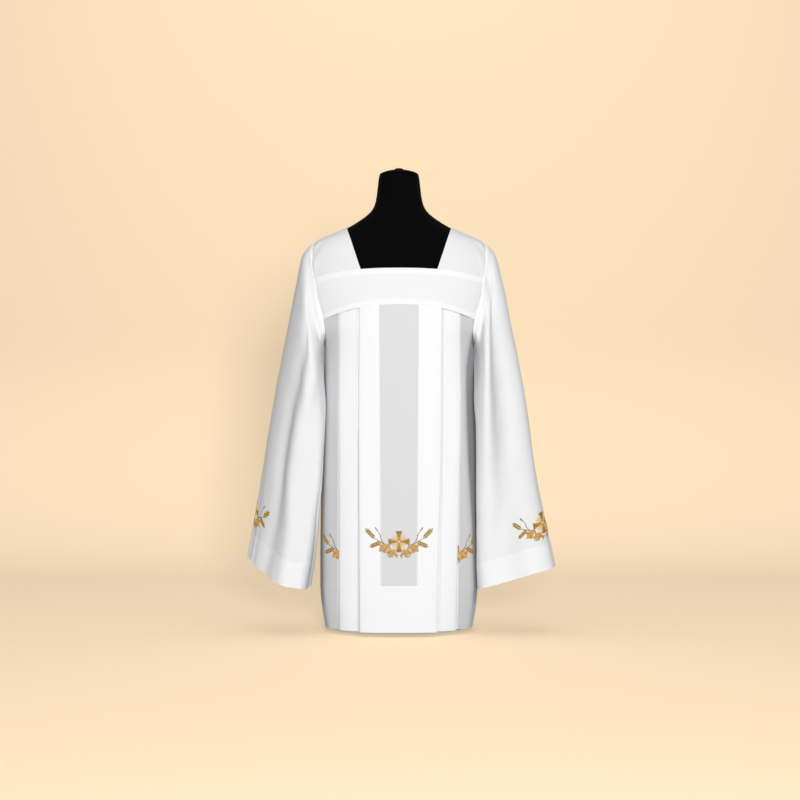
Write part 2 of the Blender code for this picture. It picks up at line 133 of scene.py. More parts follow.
ARMHOLE = [
    Armhole(0.665, 0.172),
    Armhole(0.690, 0.169),
    Armhole(0.719, 0.172),
    Armhole(0.770, 0.187),
    Armhole(0.812, 0.197),
    Armhole(0.860, 0.203),
    Armhole(0.901, 0.197),
]
FOLDS = {
    1: [
        Fold(0.0973, 0.0964, 0.0878),
        Fold(0.0450, 0.0445, 0.0400),
        Fold(0.1384, 0.1400, 0.1316),
        Fold(0.0900, 0.0900, 0.0840),
    ],
    -1: [
        Fold(0.0900, 0.0914, 0.0903),
        Fold(0.0450, 0.0445, 0.0400),
        Fold(0.1352, 0.1366, 0.1373),
        Fold(0.0860, 0.0880, 0.0880),
    ],
}
SPACING = [
    Spacing(0.00, 0.0023),
    Spacing(0.12, 0.0030),
    Spacing(0.50, 0.0046),
    Spacing(1.00, 0.0062),
]
SIDE_FOLDS = [
    SideFold(0.000, 0.1600, 0.1600, 0.15),
    SideFold(0.100, 0.1680, 0.1700, 0.30),
    SideFold(0.250, 0.1640, 0.1720, 0.60),
    SideFold(0.400, 0.1550, 0.1670, 0.80),
    SideFold(0.560, 0.1500, 0.1640, 0.90),
    SideFold(0.610, 0.1510, 0.1630, 0.85),
    SideFold(0.665, 0.1600, 0.1660, 0.45),
    SideFold(0.719, 0.1690, 0.1700, 0.00),
]
SIDE_SHARES = [0.25, 0.5, 0.75, 1.0]
SKIRT_ROWS = [
    0.0, 0.020, 0.038, 0.057, 0.0768, 0.12, 0.175, 0.25, 0.37, 0.50, 0.63, 0.76, 0.82, 0.848,
    0.8567, 0.8627, 0.872, 0.93, 1.0,
]
LEFT_SLEEVE = [
    SleeveRow(0.00, 0.1985, 0.000, 0.901, 0.1750, 0.000, 0.665, 0.078, 0.082, 0.000),
    SleeveRow(0.08, 0.2240, 0.001, 0.876, 0.1785, -0.006, 0.640, 0.078, 0.082, 0.000),
    SleeveRow(0.18, 0.2390, 0.001, 0.812, 0.1785, -0.036, 0.598, 0.075, 0.080, 0.000),
    SleeveRow(0.30, 0.2530, 0.000, 0.735, 0.1770, -0.060, 0.545, 0.070, 0.077, 0.000),
    SleeveRow(0.45, 0.2740, -0.003, 0.632, 0.1765, -0.073, 0.465, 0.062, 0.074, 0.000),
    SleeveRow(0.60, 0.2940, -0.006, 0.520, 0.1765, -0.077, 0.375, 0.055, 0.073, 0.000),
    SleeveRow(0.75, 0.3160, -0.009, 0.375, 0.1770, -0.078, 0.270, 0.050, 0.074, -0.002),
    SleeveRow(0.88, 0.3410, -0.011, 0.250, 0.1775, -0.077, 0.180, 0.048, 0.076, -0.003),
    SleeveRow(1.00, 0.3640, -0.012, 0.147, 0.1800, -0.074, 0.101, 0.047, 0.078, -0.004),
]
RIGHT_SLEEVE = [
    SleeveRow(0.00, 0.1985, 0.000, 0.901, 0.1750, 0.000, 0.665, 0.078, 0.082, 0.000),
    SleeveRow(0.08, 0.2240, 0.001, 0.876, 0.1785, -0.006, 0.640, 0.078, 0.082, 0.000),
    SleeveRow(0.18, 0.2390, 0.002, 0.812, 0.1780, -0.038, 0.598, 0.075, 0.080, 0.001),
    SleeveRow(0.30, 0.2540, 0.003, 0.735, 0.1730, -0.064, 0.545, 0.071, 0.077, 0.003),
    SleeveRow(0.45, 0.2750, 0.005, 0.632, 0.1690, -0.081, 0.465, 0.067, 0.074, 0.006),
    SleeveRow(0.60, 0.2960, 0.006, 0.520, 0.1715, -0.085, 0.375, 0.063, 0.073, 0.009),
    SleeveRow(0.75, 0.3180, 0.008, 0.385, 0.1785, -0.085, 0.275, 0.060, 0.073, 0.012),
    SleeveRow(0.88, 0.3370, 0.009, 0.270, 0.1855, -0.082, 0.185, 0.058, 0.074, 0.016),
    SleeveRow(1.00, 0.3560, 0.010, 0.169, 0.1980, -0.076, 0.106, 0.057, 0.075, 0.019),
]
SLEEVE_POINTS = 112
ARMHOLE_ROWS = [0.0, 0.003, 0.006, 0.009, 0.013, 0.019, 0.027, 0.038, 0.052]
CUFF_ROWS = [0.085, 0.070, 0.062, 0.0595, 0.0573, 0.050, 0.036, 0.018, 0.0]
MIDDLE_ROWS = 30
LEFT_SLEEVE_FOLDS = [
    SleeveFold(78.0, 20.0, 0.05, 0.13),
    SleeveFold(238.0, 24.0, 0.05, 0.22),
]
RIGHT_SLEEVE_FOLDS = [
    SleeveFold(52.0, 20.0, 0.07, 0.16),
    SleeveFold(128.0, 16.0, 0.03, 0.10),
    SleeveFold(250.0, 24.0, 0.05, 0.20),
]
EDGE_SHARPNESS = 1.35

# Soft creases that the sleeves hang in, down their length: angles and widths round the sleeve in
# degrees, and depths inward. The first crease of each sleeve is its deepest.
LEFT_CREASES = [
    Crease(
        [0.02, 0.1, 0.25, 0.42, 0.58, 0.75, 0.92, 1], [66, 70, 74, 80, 86, 98, 115, 120],
        [10, 13, 20, 24, 25, 22, 16, 15], [0.003, 0.011, 0.015, 0.015, 0.013, 0.008, 0.002, 0],
    ),
    Crease([0.02, 0.2, 0.5, 0.8], [104, 108, 124, 136], [12, 14, 14, 14], [-0.001, -0.005, -0.004, 0]),
    Crease([0.05, 0.25, 0.55, 1], [30, 34, 38, 42], [20, 20, 22, 24], [0, -0.009, -0.013, -0.013]),
    Crease(
        [0.01, 0.05, 0.2, 0.32, 0.46], [180, 180, 180, 180, 180],
        [16, 16, 16, 16, 16], [0, -0.0035, -0.005, -0.0045, 0],
    ),
    Crease([0.62, 0.85, 1], [22, 24, 25], [7, 7, 7], [0, 0.0022, 0.0026]),
    Crease([0.03, 0.3, 0.85], [215, 218, 224], [14, 14, 15], [0, 0.008, 0]),
    Crease([0.1, 0.45, 1], [268, 262, 256], [11, 12, 12], [0, 0.007, 0.002]),
    Crease([0.04, 0.25, 0.65], [306, 312, 320], [12, 12, 12], [0, 0.005, 0]),
]
RIGHT_CREASES = [
    Crease(
        [0.02, 0.12, 0.26, 0.4, 0.55, 0.68, 0.8, 0.92, 1],
        [92, 92, 86, 76, 69, 67, 70, 68, 66],
        [14, 17, 16, 13, 11, 10, 10, 10, 10],
        [0.001, 0.005, 0.0075, 0.008, 0.008, 0.008, 0.0068, 0.0055, 0.005],
    ),
    Crease(
        [0.02, 0.15, 0.28, 0.42, 0.55, 0.68, 0.85, 1], [128, 126, 118, 104, 93, 90, 97, 99],
        [12, 15, 16, 15, 14, 13, 13, 13], [0, -0.004, -0.006, -0.008, -0.009, -0.009, -0.0075, -0.007],
    ),
    Crease([0.4, 0.6, 0.8, 1], [178, 174, 170, 168], [14, 16, 18, 20], [0, 0.005, 0.009, 0.01]),
    Crease(
        [0.01, 0.05, 0.2, 0.32, 0.46], [180, 180, 180, 180, 180],
        [16, 16, 16, 16, 16], [0, -0.0035, -0.004, -0.0035, 0],
    ),
    Crease([0.7, 0.9, 1], [24, 20, 19], [7, 7, 7], [0, 0.0024, 0.0028]),
    Crease([0.78, 1], [38, 36], [6, 6], [0, 0.0022]),
    Crease([0.05, 0.3, 0.8], [222, 219, 214], [13, 14, 14], [0, 0.008, 0]),
    Crease([0.08, 0.45, 0.9], [262, 266, 271], [12, 13, 13], [0, 0.007, 0.001]),
    Crease([0.05, 0.25, 0.65], [305, 302, 298], [12, 12, 12], [0, 0.005, 0]),
]
SLEEVES = [
    Sleeve("left", 1, LEFT_SLEEVE, LEFT_SLEEVE_FOLDS, LEFT_CREASES, 0.040),
    Sleeve("right", -1, RIGHT_SLEEVE, RIGHT_SLEEVE_FOLDS, RIGHT_CREASES, -0.002),
]

# Shallow troughs and ridges in the skirt, the same through all its layers
SKIRT_CREASES = [
    SkirtCrease(0.062, 0.70, 0.060, 0.10, 0.012, 0.0008),
    SkirtCrease(-0.066, 0.69, -0.064, 0.08, 0.011, 0.0008),
    SkirtCrease(0.020, 0.50, 0.022, 0.02, 0.016, 0.0007),
    SkirtCrease(-0.024, 0.46, -0.020, 0.03, 0.014, -0.0006),
    SkirtCrease(0.118, 0.70, 0.112, 0.20, 0.010, 0.0007),
    SkirtCrease(-0.112, 0.68, -0.112, 0.18, 0.010, 0.0007),
    SkirtCrease(0.150, 0.58, 0.148, 0.10, 0.008, -0.0010),
    SkirtCrease(-0.152, 0.60, -0.150, 0.12, 0.008, 0.0010),
]

# How grey the cloth shows, from 0 for white to 1 for the darkest grey. The veils are the black form
# showing through single layers; EDGE_SHADE, SHADED_INSIDE and CREASE_SHADE are painted shade beside
# the fold edges, on the sleeves' inner sides and in a deep crease, and the skirt's turned-back sides
# take painted shade at full strength.
STRIPE_VEIL = 0.35
BASE_VEIL = 0.54
EDGE_SHADE = 0.30
YOKE_VEIL = 0.10
SHOULDER_VEIL = 0.14
SLEEVE_VEIL = 0.10
SHADED_INSIDE = {
    1: InsideShade(138.0, 168.0, 0.70, 1.10, 0.50),
    -1: InsideShade(124.0, 152.0, 0.58, 0.95, 0.72),
}
CREASE_SHADE = {1: 0.24, -1: 0.0}
DEEP_CREASE = 0.015

# Colours
WHITE = (0.895, 0.897, 0.904)
# The grey of the black form seen through one layer, also used as painted shade.
SHADE_AND_SHOW_THROUGH = (0.300, 0.303, 0.315)
GOLD = (0.440, 0.230, 0.022)
GOLD_LEAF = (0.660, 0.360, 0.075)
OLIVE = (0.400, 0.280, 0.035)
ORANGE = (0.780, 0.450, 0.150)
PALE = (0.930, 0.640, 0.250)
HALO = (0.930, 0.620, 0.290)
STEM = (0.230, 0.185, 0.120)
JERSEY_DARK = (0.0006, 0.0006, 0.0008)
JERSEY_LIGHT = (0.0024, 0.0024, 0.0027)
COAT_DARK = (0.0070, 0.0070, 0.0080)
COAT_LIGHT = (0.0160, 0.0160, 0.0170)
BACKDROP = (0.920, 0.680, 0.450)
WALL_GLOW = (0.270, 0.232, 0.167)
FLOOR_GLOW = (0.390, 0.330, 0.235)


def eased(first, first_slope, last, last_slope, t):
    """A cubic curve between two values, with a given slope at each."""
    return (
        first * (2 * t**3 - 3 * t**2 + 1)
        + first_slope * (t**3 - 2 * t**2 + t)
        + last * (3 * t**2 - 2 * t**3)
        + last_slope * (t**3 - t**2)
    )


def through(rows, column):
    """A smooth function through one column of a table, keyed by the table's first column."""
    keys = [row[0] for row in rows]
    values = [getattr(row, column) for row in rows]
    rises = [(values[i + 1] - values[i]) / (keys[i + 1] - keys[i]) for i in range(len(keys) - 1)]
    slopes = [rises[0]]
    for before, after in zip(rises, rises[1:]):
        slopes.append(0.0 if before * after <= 0 else 2 * before * after / (before + after))
    slopes.append(rises[-1])

    def at(key):
        key = min(max(key, keys[0]), keys[-1])
        i = max(j for j in range(len(keys) - 1) if keys[j] <= key)
        span = keys[i + 1] - keys[i]
        t = (key - keys[i]) / span
        return eased(values[i], slopes[i] * span, values[i + 1], slopes[i + 1] * span, t)

    return at


def mix(a, b, t):
    return a + (b - a) * t


def ease_in_out(t):
    t = min(max(t, 0.0), 1.0)
    return t * t * (3 - 2 * t)


def smooth_step(low, high, values):
    """0 below low, 1 above high, eased between them, for an array."""
    t = np.clip((values - low) / (high - low), 0.0, 1.0)
    return t * t * (3 - 2 * t)


def smooth_values(keys, stations, values):
    """Values read from a short table for an array of keys, eased between its stations."""
    keys = np.asarray(keys)
    i = np.clip(np.searchsorted(stations, keys) - 1, 0, len(stations) - 2)
    low, high = np.array(stations)[i], np.array(stations)[i + 1]
    share = smooth_step(0.0, 1.0, (keys - low) / (high - low))
    return np.array(values)[i] * (1 - share) + np.array(values)[i + 1] * share


def soft_unevenness(places):
    """Faint hollows and swells that pressed cotton keeps, as heights for points."""
    scale = 1 / UNEVEN_SIZE
    return np.array([UNEVEN_DEPTH * noise.noise(Vector(place) * scale) for place in places])


def line_lengths(points):
    """How far along a line each of its points lies."""
    steps = np.linalg.norm(np.diff(points, axis=0), axis=1)
    return np.concatenate([[0.0], np.cumsum(steps)])


def along_line(points, distances, distance):
    """The point at a distance along a line of points."""
    distance = min(max(distance, distances[0]), distances[-1])
    i = max(min(int(np.searchsorted(distances, distance)), len(distances) - 1), 1)
    share = (distance - distances[i - 1]) / (distances[i] - distances[i - 1])
    return points[i - 1] * (1 - share) + points[i] * share


half_width_at = through(GARMENT, "half_width")
depth_at = {side: through(GARMENT, side) for side in FACING}
squareness_at = through(GARMENT, "squareness")
armhole_x_at = through(ARMHOLE, "x")
layer_gap_at = through(SPACING, "gap")
side_fold_x_at = {1: through(SIDE_FOLDS, "left_x"), -1: through(SIDE_FOLDS, "right_x")}
side_flatness_at = through(SIDE_FOLDS, "flatness")


# The garment's form

def cloth_y(x, z, side):
    """How far the garment's surface stands from the middle, at one x and height."""
    ratio = min(abs(x) / half_width_at(z), 1.0)
    n = squareness_at(z)
    return FACING[side] * depth_at[side](z) * (1 - ratio**n) ** (1 / n)


def plan_angle(x, z):
    """The angle round the garment's plan at which it has that x."""
    ratio = min(abs(x) / half_width_at(z), 1.0)
    return math.asin(ratio ** (squareness_at(z) / 2))


def plan_x(angle, z):
    return half_width_at(z) * math.sin(angle) ** (2 / squareness_at(z))


def yoke_top_z(x, side):
    drop = YOKE_TOP[side] - YOKE_TOP_END[side]
    end_x = armhole_x_at(YOKE_TOP_END[side])
    return YOKE_TOP[side] - drop * min(abs(x) / end_x, 1.0) ** YOKE_TOP_CURVE


def yoke_hem_z(x):
    end_x = armhole_x_at(YOKE_HEM_END)
    return YOKE_HEM - (YOKE_HEM - YOKE_HEM_END) * min(abs(x) / end_x, 1.0) ** YOKE_HEM_CURVE


def skirt_z(x, down):
    """The height of the skirt, a share of the way down from the yoke's seam to the hem."""
    return mix(yoke_hem_z(x), HEM_HEIGHT, down) - SEAM_GAP * (1 - down)


def fold_positions(hand, down):
    """The x of each fold at a share of the way from the yoke to the hem."""
    placed = []
    for fold in FOLDS[hand]:
        if down < CHEST_SHARE:
            placed.append(mix(fold.yoke_x, fold.chest_x, ease_in_out(down / CHEST_SHARE)))
        else:
            share = (down - CHEST_SHARE) / (1 - CHEST_SHARE)
            placed.append(mix(fold.chest_x, fold.hem_x, ease_in_out(share)))
    return placed


def folded_path(hand, down):
    """The folded cloth's path from beside the centre out over the last fold, as (x, layer) pairs."""
    first_edge, first_back, second_edge, second_back = fold_positions(hand, down)
    radius = layer_gap_at(down) / 2
    inner = mix(first_back, first_edge, 0.5)
    near = mix(second_back, second_edge, 1 / 3)
    far = mix(second_back, second_edge, 2 / 3)

    def turn(x, way, layer):
        return [(x + way * radius, layer), (x, layer + 0.5), (x + way * radius, layer + 1.0)]

    path = [(first_back * 0.5, 0.0), (first_back - 0.0016, 0.0), (first_back + 0.0016, 0.0)]
    path += [(inner, 0.0)]
    path += turn(first_edge, -1, 0.0) + [(inner, 1.0)]
    path += turn(first_back, 1, 1.0) + [(inner, 2.0), (second_back, 2.0), (near, 2.0), (far, 2.0)]
    path += turn(second_edge, -1, 2.0) + [(far, 3.0), (near, 3.0)]
    path += turn(second_back, 1, 3.0) + [(near, 4.0), (far, 4.0), (second_edge, 4.0)]
    return path


def side_points(side, hand, down, start_x):
    """The base layer beyond the last fold: to the fold under the arm, then back to the side seam."""
    inward = -FACING[side]
    recess = (PLEAT_LAYERS - 1) * layer_gap_at(down)
    edge_z = mix(YOKE_HEM_END, HEM_HEIGHT, down)
    sewn_to_sleeve = edge_z > UNDERARM_Z
    edge_x = armhole_x_at(edge_z) if sewn_to_sleeve else half_width_at(edge_z)
    fold_x = side_fold_x_at[hand](edge_z)

    def on_plan(x, z):
        rise = ease_in_out((x - start_x) / (edge_x - start_x))
        return cloth_y(x, z, side) + inward * (recess * (1 - rise) + CLOTH / 2)

    points = []
    for x in (mix(start_x, fold_x, 0.5), fold_x):
        points.append((x, on_plan(x, skirt_z(x, down)), skirt_z(x, down)))
    fold_point = points[-1]
    if sewn_to_sleeve:
        seam_point = (edge_x, on_plan(edge_x, edge_z), skirt_z(edge_x, down))
    else:
        seam_point = (edge_x, FACING[side] * (SEAM_GAP + CLOTH) / 2, skirt_z(edge_x, down))
    for share in SIDE_SHARES[:-1]:
        z = mix(fold_point[2], seam_point[2], share)
        x = plan_x(mix(plan_angle(fold_x, z), plan_angle(edge_x, z), share), z)
        curved = (x, on_plan(x, z), z)
        flat = [mix(a, b, share) for a, b in zip(fold_point, seam_point)]
        points.append(tuple(mix(c, f, side_flatness_at(edge_z)) for c, f in zip(curved, flat)))
    points.append(seam_point)
    return points


def half_skirt_row(side, hand, down):
    """One level of half the skirt, from beside the centre to the side seam."""
    inward = -FACING[side]
    gap = layer_gap_at(down)
    row = []
    for x, layer in folded_path(hand, down):
        z = skirt_z(x, down)
        row.append((x, cloth_y(x, z, side) + inward * (layer * gap + CLOTH / 2), z))
    row += side_points(side, hand, down, row[-1][0])
    return [(hand * x, y, z) for x, y, z in row]


def sleeve_columns(table):
    return {column: through(table, column) for column in SleeveRow._fields[1:]}


def sleeve_point(columns, folds, hand, angle, down):
    """A point of a sleeve: angle 0 is its outer fold, and it runs over the front to the inner edge."""
    at = {column: smooth(down) for column, smooth in columns.items()}
    outer = (at["outer_x"], at["outer_y"], at["outer_z"])
    inner = (at["inner_x"], at["inner_y"], at["inner_z"])
    side = "front" if math.sin(angle) >= 0 else "back"
    sharpness = mix(1.0, EDGE_SHARPNESS, ease_in_out(down * 2))
    bulge = abs(math.sin(angle)) ** sharpness
    degrees = math.degrees(angle) % 360
    for fold in folds:
        depth = mix(fold.top_depth, fold.cuff_depth, ease_in_out(down))
        away = (degrees - fold.angle) / fold.width
        bulge *= 1 - depth * math.exp(-away * away)
    point = [mix(a, b, 0.5) + (a - b) / 2 * math.cos(angle) for a, b in zip(outer, inner)]
    point[1] += FACING[side] * at[side + "_depth"] * bulge
    point[2] += at["front_drop"] * FACING[side] * bulge
    middle_z = (SHOULDER_POINT_Z + UNDERARM_Z) / 2
    hole_z = middle_z + (SHOULDER_POINT_Z - UNDERARM_Z) / 2 * math.cos(angle)
    hole_x = armhole_x_at(hole_z)
    hole = (hole_x + ARMHOLE_GAP, cloth_y(hole_x, hole_z, side), hole_z)
    if down == 0.0:
        point = list(hole)
    armhole_share = 1 - ease_in_out(down / ARMHOLE_SHARE)
    point[1] = mix(point[1], hole[1], armhole_share)
    return (hand * point[0], point[1], point[2])


# Making meshes

def add_object(name, data):
    made = bpy.data.objects.new(name, data)
    bpy.context.scene.collection.objects.link(made)
    return made


def grid_mesh(name, rows, closed_rows=False):
    """A surface through rows of points, with a UV map in metres: along the rows, and down them."""
    count = len(rows[0])
    vertices = [point for row in rows for point in row]
    faces = []
    corners = []
    across = np.array(rows[len(rows) // 2], dtype=float)
    if closed_rows:
        across = np.vstack([across, across[:1]])
    u = line_lengths(across)
    v = line_lengths(np.array([row[count // 3] for row in rows], dtype=float))
    for r in range(len(rows) - 1):
        for c in range(count if closed_rows else count - 1):
            d = (c + 1) % count
            faces.append((r * count + c, (r + 1) * count + c, (r + 1) * count + d, r * count + d))
            corners += [(u[c], -v[r]), (u[c], -v[r + 1]), (u[c + 1], -v[r + 1]), (u[c + 1], -v[r])]
    mesh = bpy.data.meshes.new(name)
    mesh.from_pydata(vertices, [], faces)
    layer = mesh.uv_layers.new(name="cloth")
    layer.data.foreach_set("uv", np.array(corners, dtype=float).ravel())
    return add_object(name, mesh)


def only(piece):
    """Selects one piece alone and makes it active."""
    bpy.ops.object.select_all(action="DESELECT")
    piece.select_set(True)
    bpy.context.view_layer.objects.active = piece


def face_outwards(piece, centre):
    """Turns an open sheet so that its faces point away from a centre line beside it."""
    mesh = piece.data
    total = 0.0
    for face in mesh.polygons:
        away = face.center - Vector((centre[0], centre[1], face.center.z))
        total += face.normal.dot(away) * face.area
    if total < 0:
        mesh.flip_normals()


def apply_modifier(piece, name):
    only(piece)
    bpy.ops.object.modifier_apply(modifier=name)


def subdivide_smooth(piece, levels):
    finer = piece.modifiers.new("Finer", "SUBSURF")
    finer.levels = levels
    finer.render_levels = levels
    finer.boundary_smooth = "PRESERVE_CORNERS"
    finer.uv_smooth = "PRESERVE_BOUNDARIES"
    apply_modifier(piece, "Finer")


def vectors_of(values, name):
    flat = np.empty(len(values) * 3)
    values.foreach_get(name, flat)
    return flat.reshape(-1, 3)


def points_of(piece):
    return vectors_of(piece.data.vertices, "co")


def normals_of(piece):
    return vectors_of(piece.data.vertex_normals, "vector")


def move_points(piece, places):
    piece.data.vertices.foreach_set("co", np.asarray(places, dtype=float).ravel())
    piece.data.update()


def add_values(piece, name, values):
    layer = piece.data.attributes.new(name, "FLOAT", "POINT")
    layer.data.foreach_set("value", np.asarray(values, dtype=float))


def thicken(piece):
    """Gives a finished sheet its cloth thickness, evenly to both sides."""
    wall = piece.modifiers.new("Cloth thickness", "SOLIDIFY")
    wall.thickness = CLOTH
    wall.offset = 0.0
    wall.use_even_offset = False
    apply_modifier(piece, "Cloth thickness")
    piece.data.shade_smooth()
    piece.data.set_sharp_from_angle(angle=math.radians(SHARP_DEGREES))


def surface_tree(piece):
    """The sheet before it is thickened, for laying stitches on it."""
    places = [v.co.copy() for v in piece.data.vertices]
    faces = [tuple(f.vertices) for f in piece.data.polygons]
    return BVHTree.FromPolygons(places, faces)


# Finishes

def new_group(name, inputs, outputs):
    """An empty shader node group with named values in and out."""
    group = bpy.data.node_groups.new(name, "ShaderNodeTree")
    for socket, default in inputs:
        made = group.interface.new_socket(socket, in_out="INPUT", socket_type="NodeSocketFloat")
        made.default_value = default
    for socket, kind in outputs:
        group.interface.new_socket(socket, in_out="OUTPUT", socket_type=kind)
    source = group.nodes.new("NodeGroupInput")
    result = group.nodes.new("NodeGroupOutput")
    return group, source, result


def maths(nodes, links, operation, first, second):
    node = nodes.new("ShaderNodeMath")
    node.operation = operation
    for socket, value in zip(node.inputs, (first, second)):
        if isinstance(value, (int, float)):
            socket.default_value = value
        else:
            links.new(value, socket)
    return node.outputs[0]


def weave_group():
    """Warp and weft threads with uneven slubs, as a height and as a light and dark mottle."""
    group, source, result = new_group(
        "Plain weave",
        [("Threads per metre", 2000.0), ("Slub size", 90.0)],
        [("Height", "NodeSocketFloat"), ("Mottle", "NodeSocketFloat")],
    )
    nodes, links = group.nodes, group.links
    place = nodes.new("ShaderNodeUVMap")
    place.uv_map = "cloth"
    split = nodes.new("ShaderNodeSeparateXYZ")
    links.new(place.outputs["UV"], split.inputs[0])
    waves = []
    for axis in (0, 1):
        turned = maths(nodes, links, "MULTIPLY", split.outputs[axis], source.outputs[0])
        angle = maths(nodes, links, "MULTIPLY", turned, math.pi)
        wave = maths(nodes, links, "SINE", angle, 0.0)
        waves.append(maths(nodes, links, "ABSOLUTE", wave, 0.0))
    crossing = maths(nodes, links, "MAXIMUM", waves[0], waves[1])
    slub = nodes.new("ShaderNodeTexNoise")
    slub.inputs["Detail"].default_value = 4.0
    links.new(place.outputs["UV"], slub.inputs["Vector"])
    links.new(source.outputs[1], slub.inputs["Scale"])
    links.new(maths(nodes, links, "MULTIPLY", crossing, slub.outputs[0]), result.inputs[0])
    links.new(slub.outputs[0], result.inputs[1])
    return group


def surface_group():
    """A fine uneven grain on object coordinates, for knitted covers and painted steel."""
    group, source, result = new_group(
        "Fine grain", [("Scale", 900.0)], [("Height", "NodeSocketFloat")]
    )
    place = group.nodes.new("ShaderNodeTexCoord")
    grain = group.nodes.new("ShaderNodeTexNoise")
    grain.inputs["Detail"].default_value = 3.0
    group.links.new(place.outputs["Object"], grain.inputs["Vector"])
    group.links.new(source.outputs[0], grain.inputs["Scale"])
    group.links.new(grain.outputs[0], result.inputs[0])
    return group


def blank_material(name):
    made = bpy.data.materials.new(name)
    made.use_nodes = True
    return made, made.node_tree.nodes, made.node_tree.links, made.node_tree.nodes["Principled BSDF"]


def set_inputs(shader, values):
    for name, value in values.items():
        shader.inputs[name].default_value = value


def add_bump(nodes, links, shader, height, distance, strength):
    bump = nodes.new("ShaderNodeBump")
    bump.inputs["Distance"].default_value = distance
    bump.inputs["Strength"].default_value = strength
    links.new(height, bump.inputs["Height"])
    links.new(bump.outputs["Normal"], shader.inputs["Normal"])


def colour_mix(nodes, links, factor, first, second):
    node = nodes.new("ShaderNodeMix")
    node.data_type = "RGBA"
    links.new(factor, node.inputs["Factor"])
    for socket, value in ((node.inputs[6], first), (node.inputs[7], second)):
        if isinstance(value, tuple):
            socket.default_value = (*value, 1.0)
        else:
            links.new(value, socket)
    return node.outputs[2]


def cloth_material(weave):
    """Fine white cotton: whiter where layers lie on each other, greyer where one layer hangs, and
    greyer still where shade is painted in.
    """
    made, nodes, links, shader = blank_material("white cotton")
    cloth = nodes.new("ShaderNodeGroup")
    cloth.node_tree = weave
    single = nodes.new("ShaderNodeAttribute")
    single.attribute_name = "show_through"
    veiled_and_shaded = colour_mix(nodes, links, single.outputs["Fac"], WHITE, SHADE_AND_SHOW_THROUGH)
    faint = maths(nodes, links, "MULTIPLY", cloth.outputs["Mottle"], 0.07)
    darker = tuple(0.80 * c for c in WHITE)
    links.new(colour_mix(nodes, links, faint, veiled_and_shaded, darker), shader.inputs["Base Color"])
    set_inputs(shader, {
        "Roughness": 0.80,
        "Specular IOR Level": 0.25,
        "Sheen Weight": 0.20,
        "Sheen Roughness": 0.45,
    })
    add_bump(nodes, links, shader, cloth.outputs["Height"], 0.00025, 0.6)
    return made


def thread_material():
    """Shiny embroidery thread, in the colour that each stitch carries."""
    made, nodes, links, shader = blank_material("embroidery thread")
    colour = nodes.new("ShaderNodeAttribute")
    colour.attribute_name = "thread_colour"
    place = nodes.new("ShaderNodeTexCoord")
    ply = nodes.new("ShaderNodeTexNoise")
    ply.inputs["Scale"].default_value = 1400.0
    links.new(place.outputs["Object"], ply.inputs["Vector"])
    uneven = maths(nodes, links, "MULTIPLY", ply.outputs[0], 0.22)
    links.new(
        colour_mix(nodes, links, uneven, colour.outputs["Color"], OLIVE), shader.inputs["Base Color"]
    )
    set_inputs(shader, {"Roughness": 0.50, "Specular IOR Level": 0.15})
    add_bump(nodes, links, shader, ply.outputs[0], 0.0001, 0.5)
    return made


def grained_material(name, scale, dark, light, specular):
    """A black finish whose colour follows a fine grain."""
    made, nodes, links, shader = blank_material(name)
    grain = nodes.new("ShaderNodeGroup")
    grain.node_tree = GRAIN
    grain.inputs["Scale"].default_value = scale
    shader.inputs["Specular IOR Level"].default_value = specular
    links.new(colour_mix(nodes, links, grain.outputs[0], dark, light), shader.inputs["Base Color"])
    return made, nodes, links, shader, grain.outputs[0]


def jersey_material():
    made, nodes, links, shader, grain = grained_material(
        "black jersey", 1300.0, JERSEY_DARK, JERSEY_LIGHT, 0.05
    )
    shader.inputs["Roughness"].default_value = 0.9
    add_bump(nodes, links, shader, grain, 0.0004, 0.5)
    return made


def steel_material():
    made, nodes, links, shader, grain = grained_material(
        "black powder coat", 700.0, COAT_DARK, COAT_LIGHT, 0.4
    )
    rough = maths(nodes, links, "MULTIPLY", grain, 0.25)
    links.new(maths(nodes, links, "ADD", rough, 0.36), shader.inputs["Roughness"])
    add_bump(nodes, links, shader, grain, 0.0002, 0.35)
    return made


GRAIN = surface_group()
COTTON = cloth_material(weave_group())
THREAD = thread_material()
JERSEY = jersey_material()
STEEL = steel_material()


def finish_piece(piece, material, slot, *nodes):
    """Gives a piece its finish and its body, and hides the nodes that it stands for; the slot is not
    used.
    """
    piece.data.materials.clear()
    piece.data.materials.append(material)
    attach(piece, "root")
    if nodes:
        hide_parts(*nodes)


def finish_cloth(piece, node, flat, area, held, *rests_on):
    """Thickens and finishes a sheet; returns it as a tree to lay stitches on. Its cut (flat, area,
    held and rests_on) is not used.
    """
    tree = surface_tree(piece)
    thicken(piece)
    finish_piece(piece, COTTON, "white_cloth", node)
    return tree


# Camera, light and backdrop

def add_camera():
    camera = add_object("camera", bpy.data.cameras.new("camera"))
    camera.location = CAMERA_PLACE
    camera.rotation_euler = (math.radians(90), 0, 0)
    camera.data.lens = CAMERA_LENS
    camera.data.sensor_width = SENSOR
    bpy.context.scene.camera = camera


def add_light(name, place, aim, size, power):
    light = add_object(name, bpy.data.lights.new(name, "AREA"))
    light.location = place
    light.rotation_euler = (Vector(aim) - Vector(place)).to_track_quat("-Z", "Y").to_euler()
    light.data.size = size
    light.data.energy = power


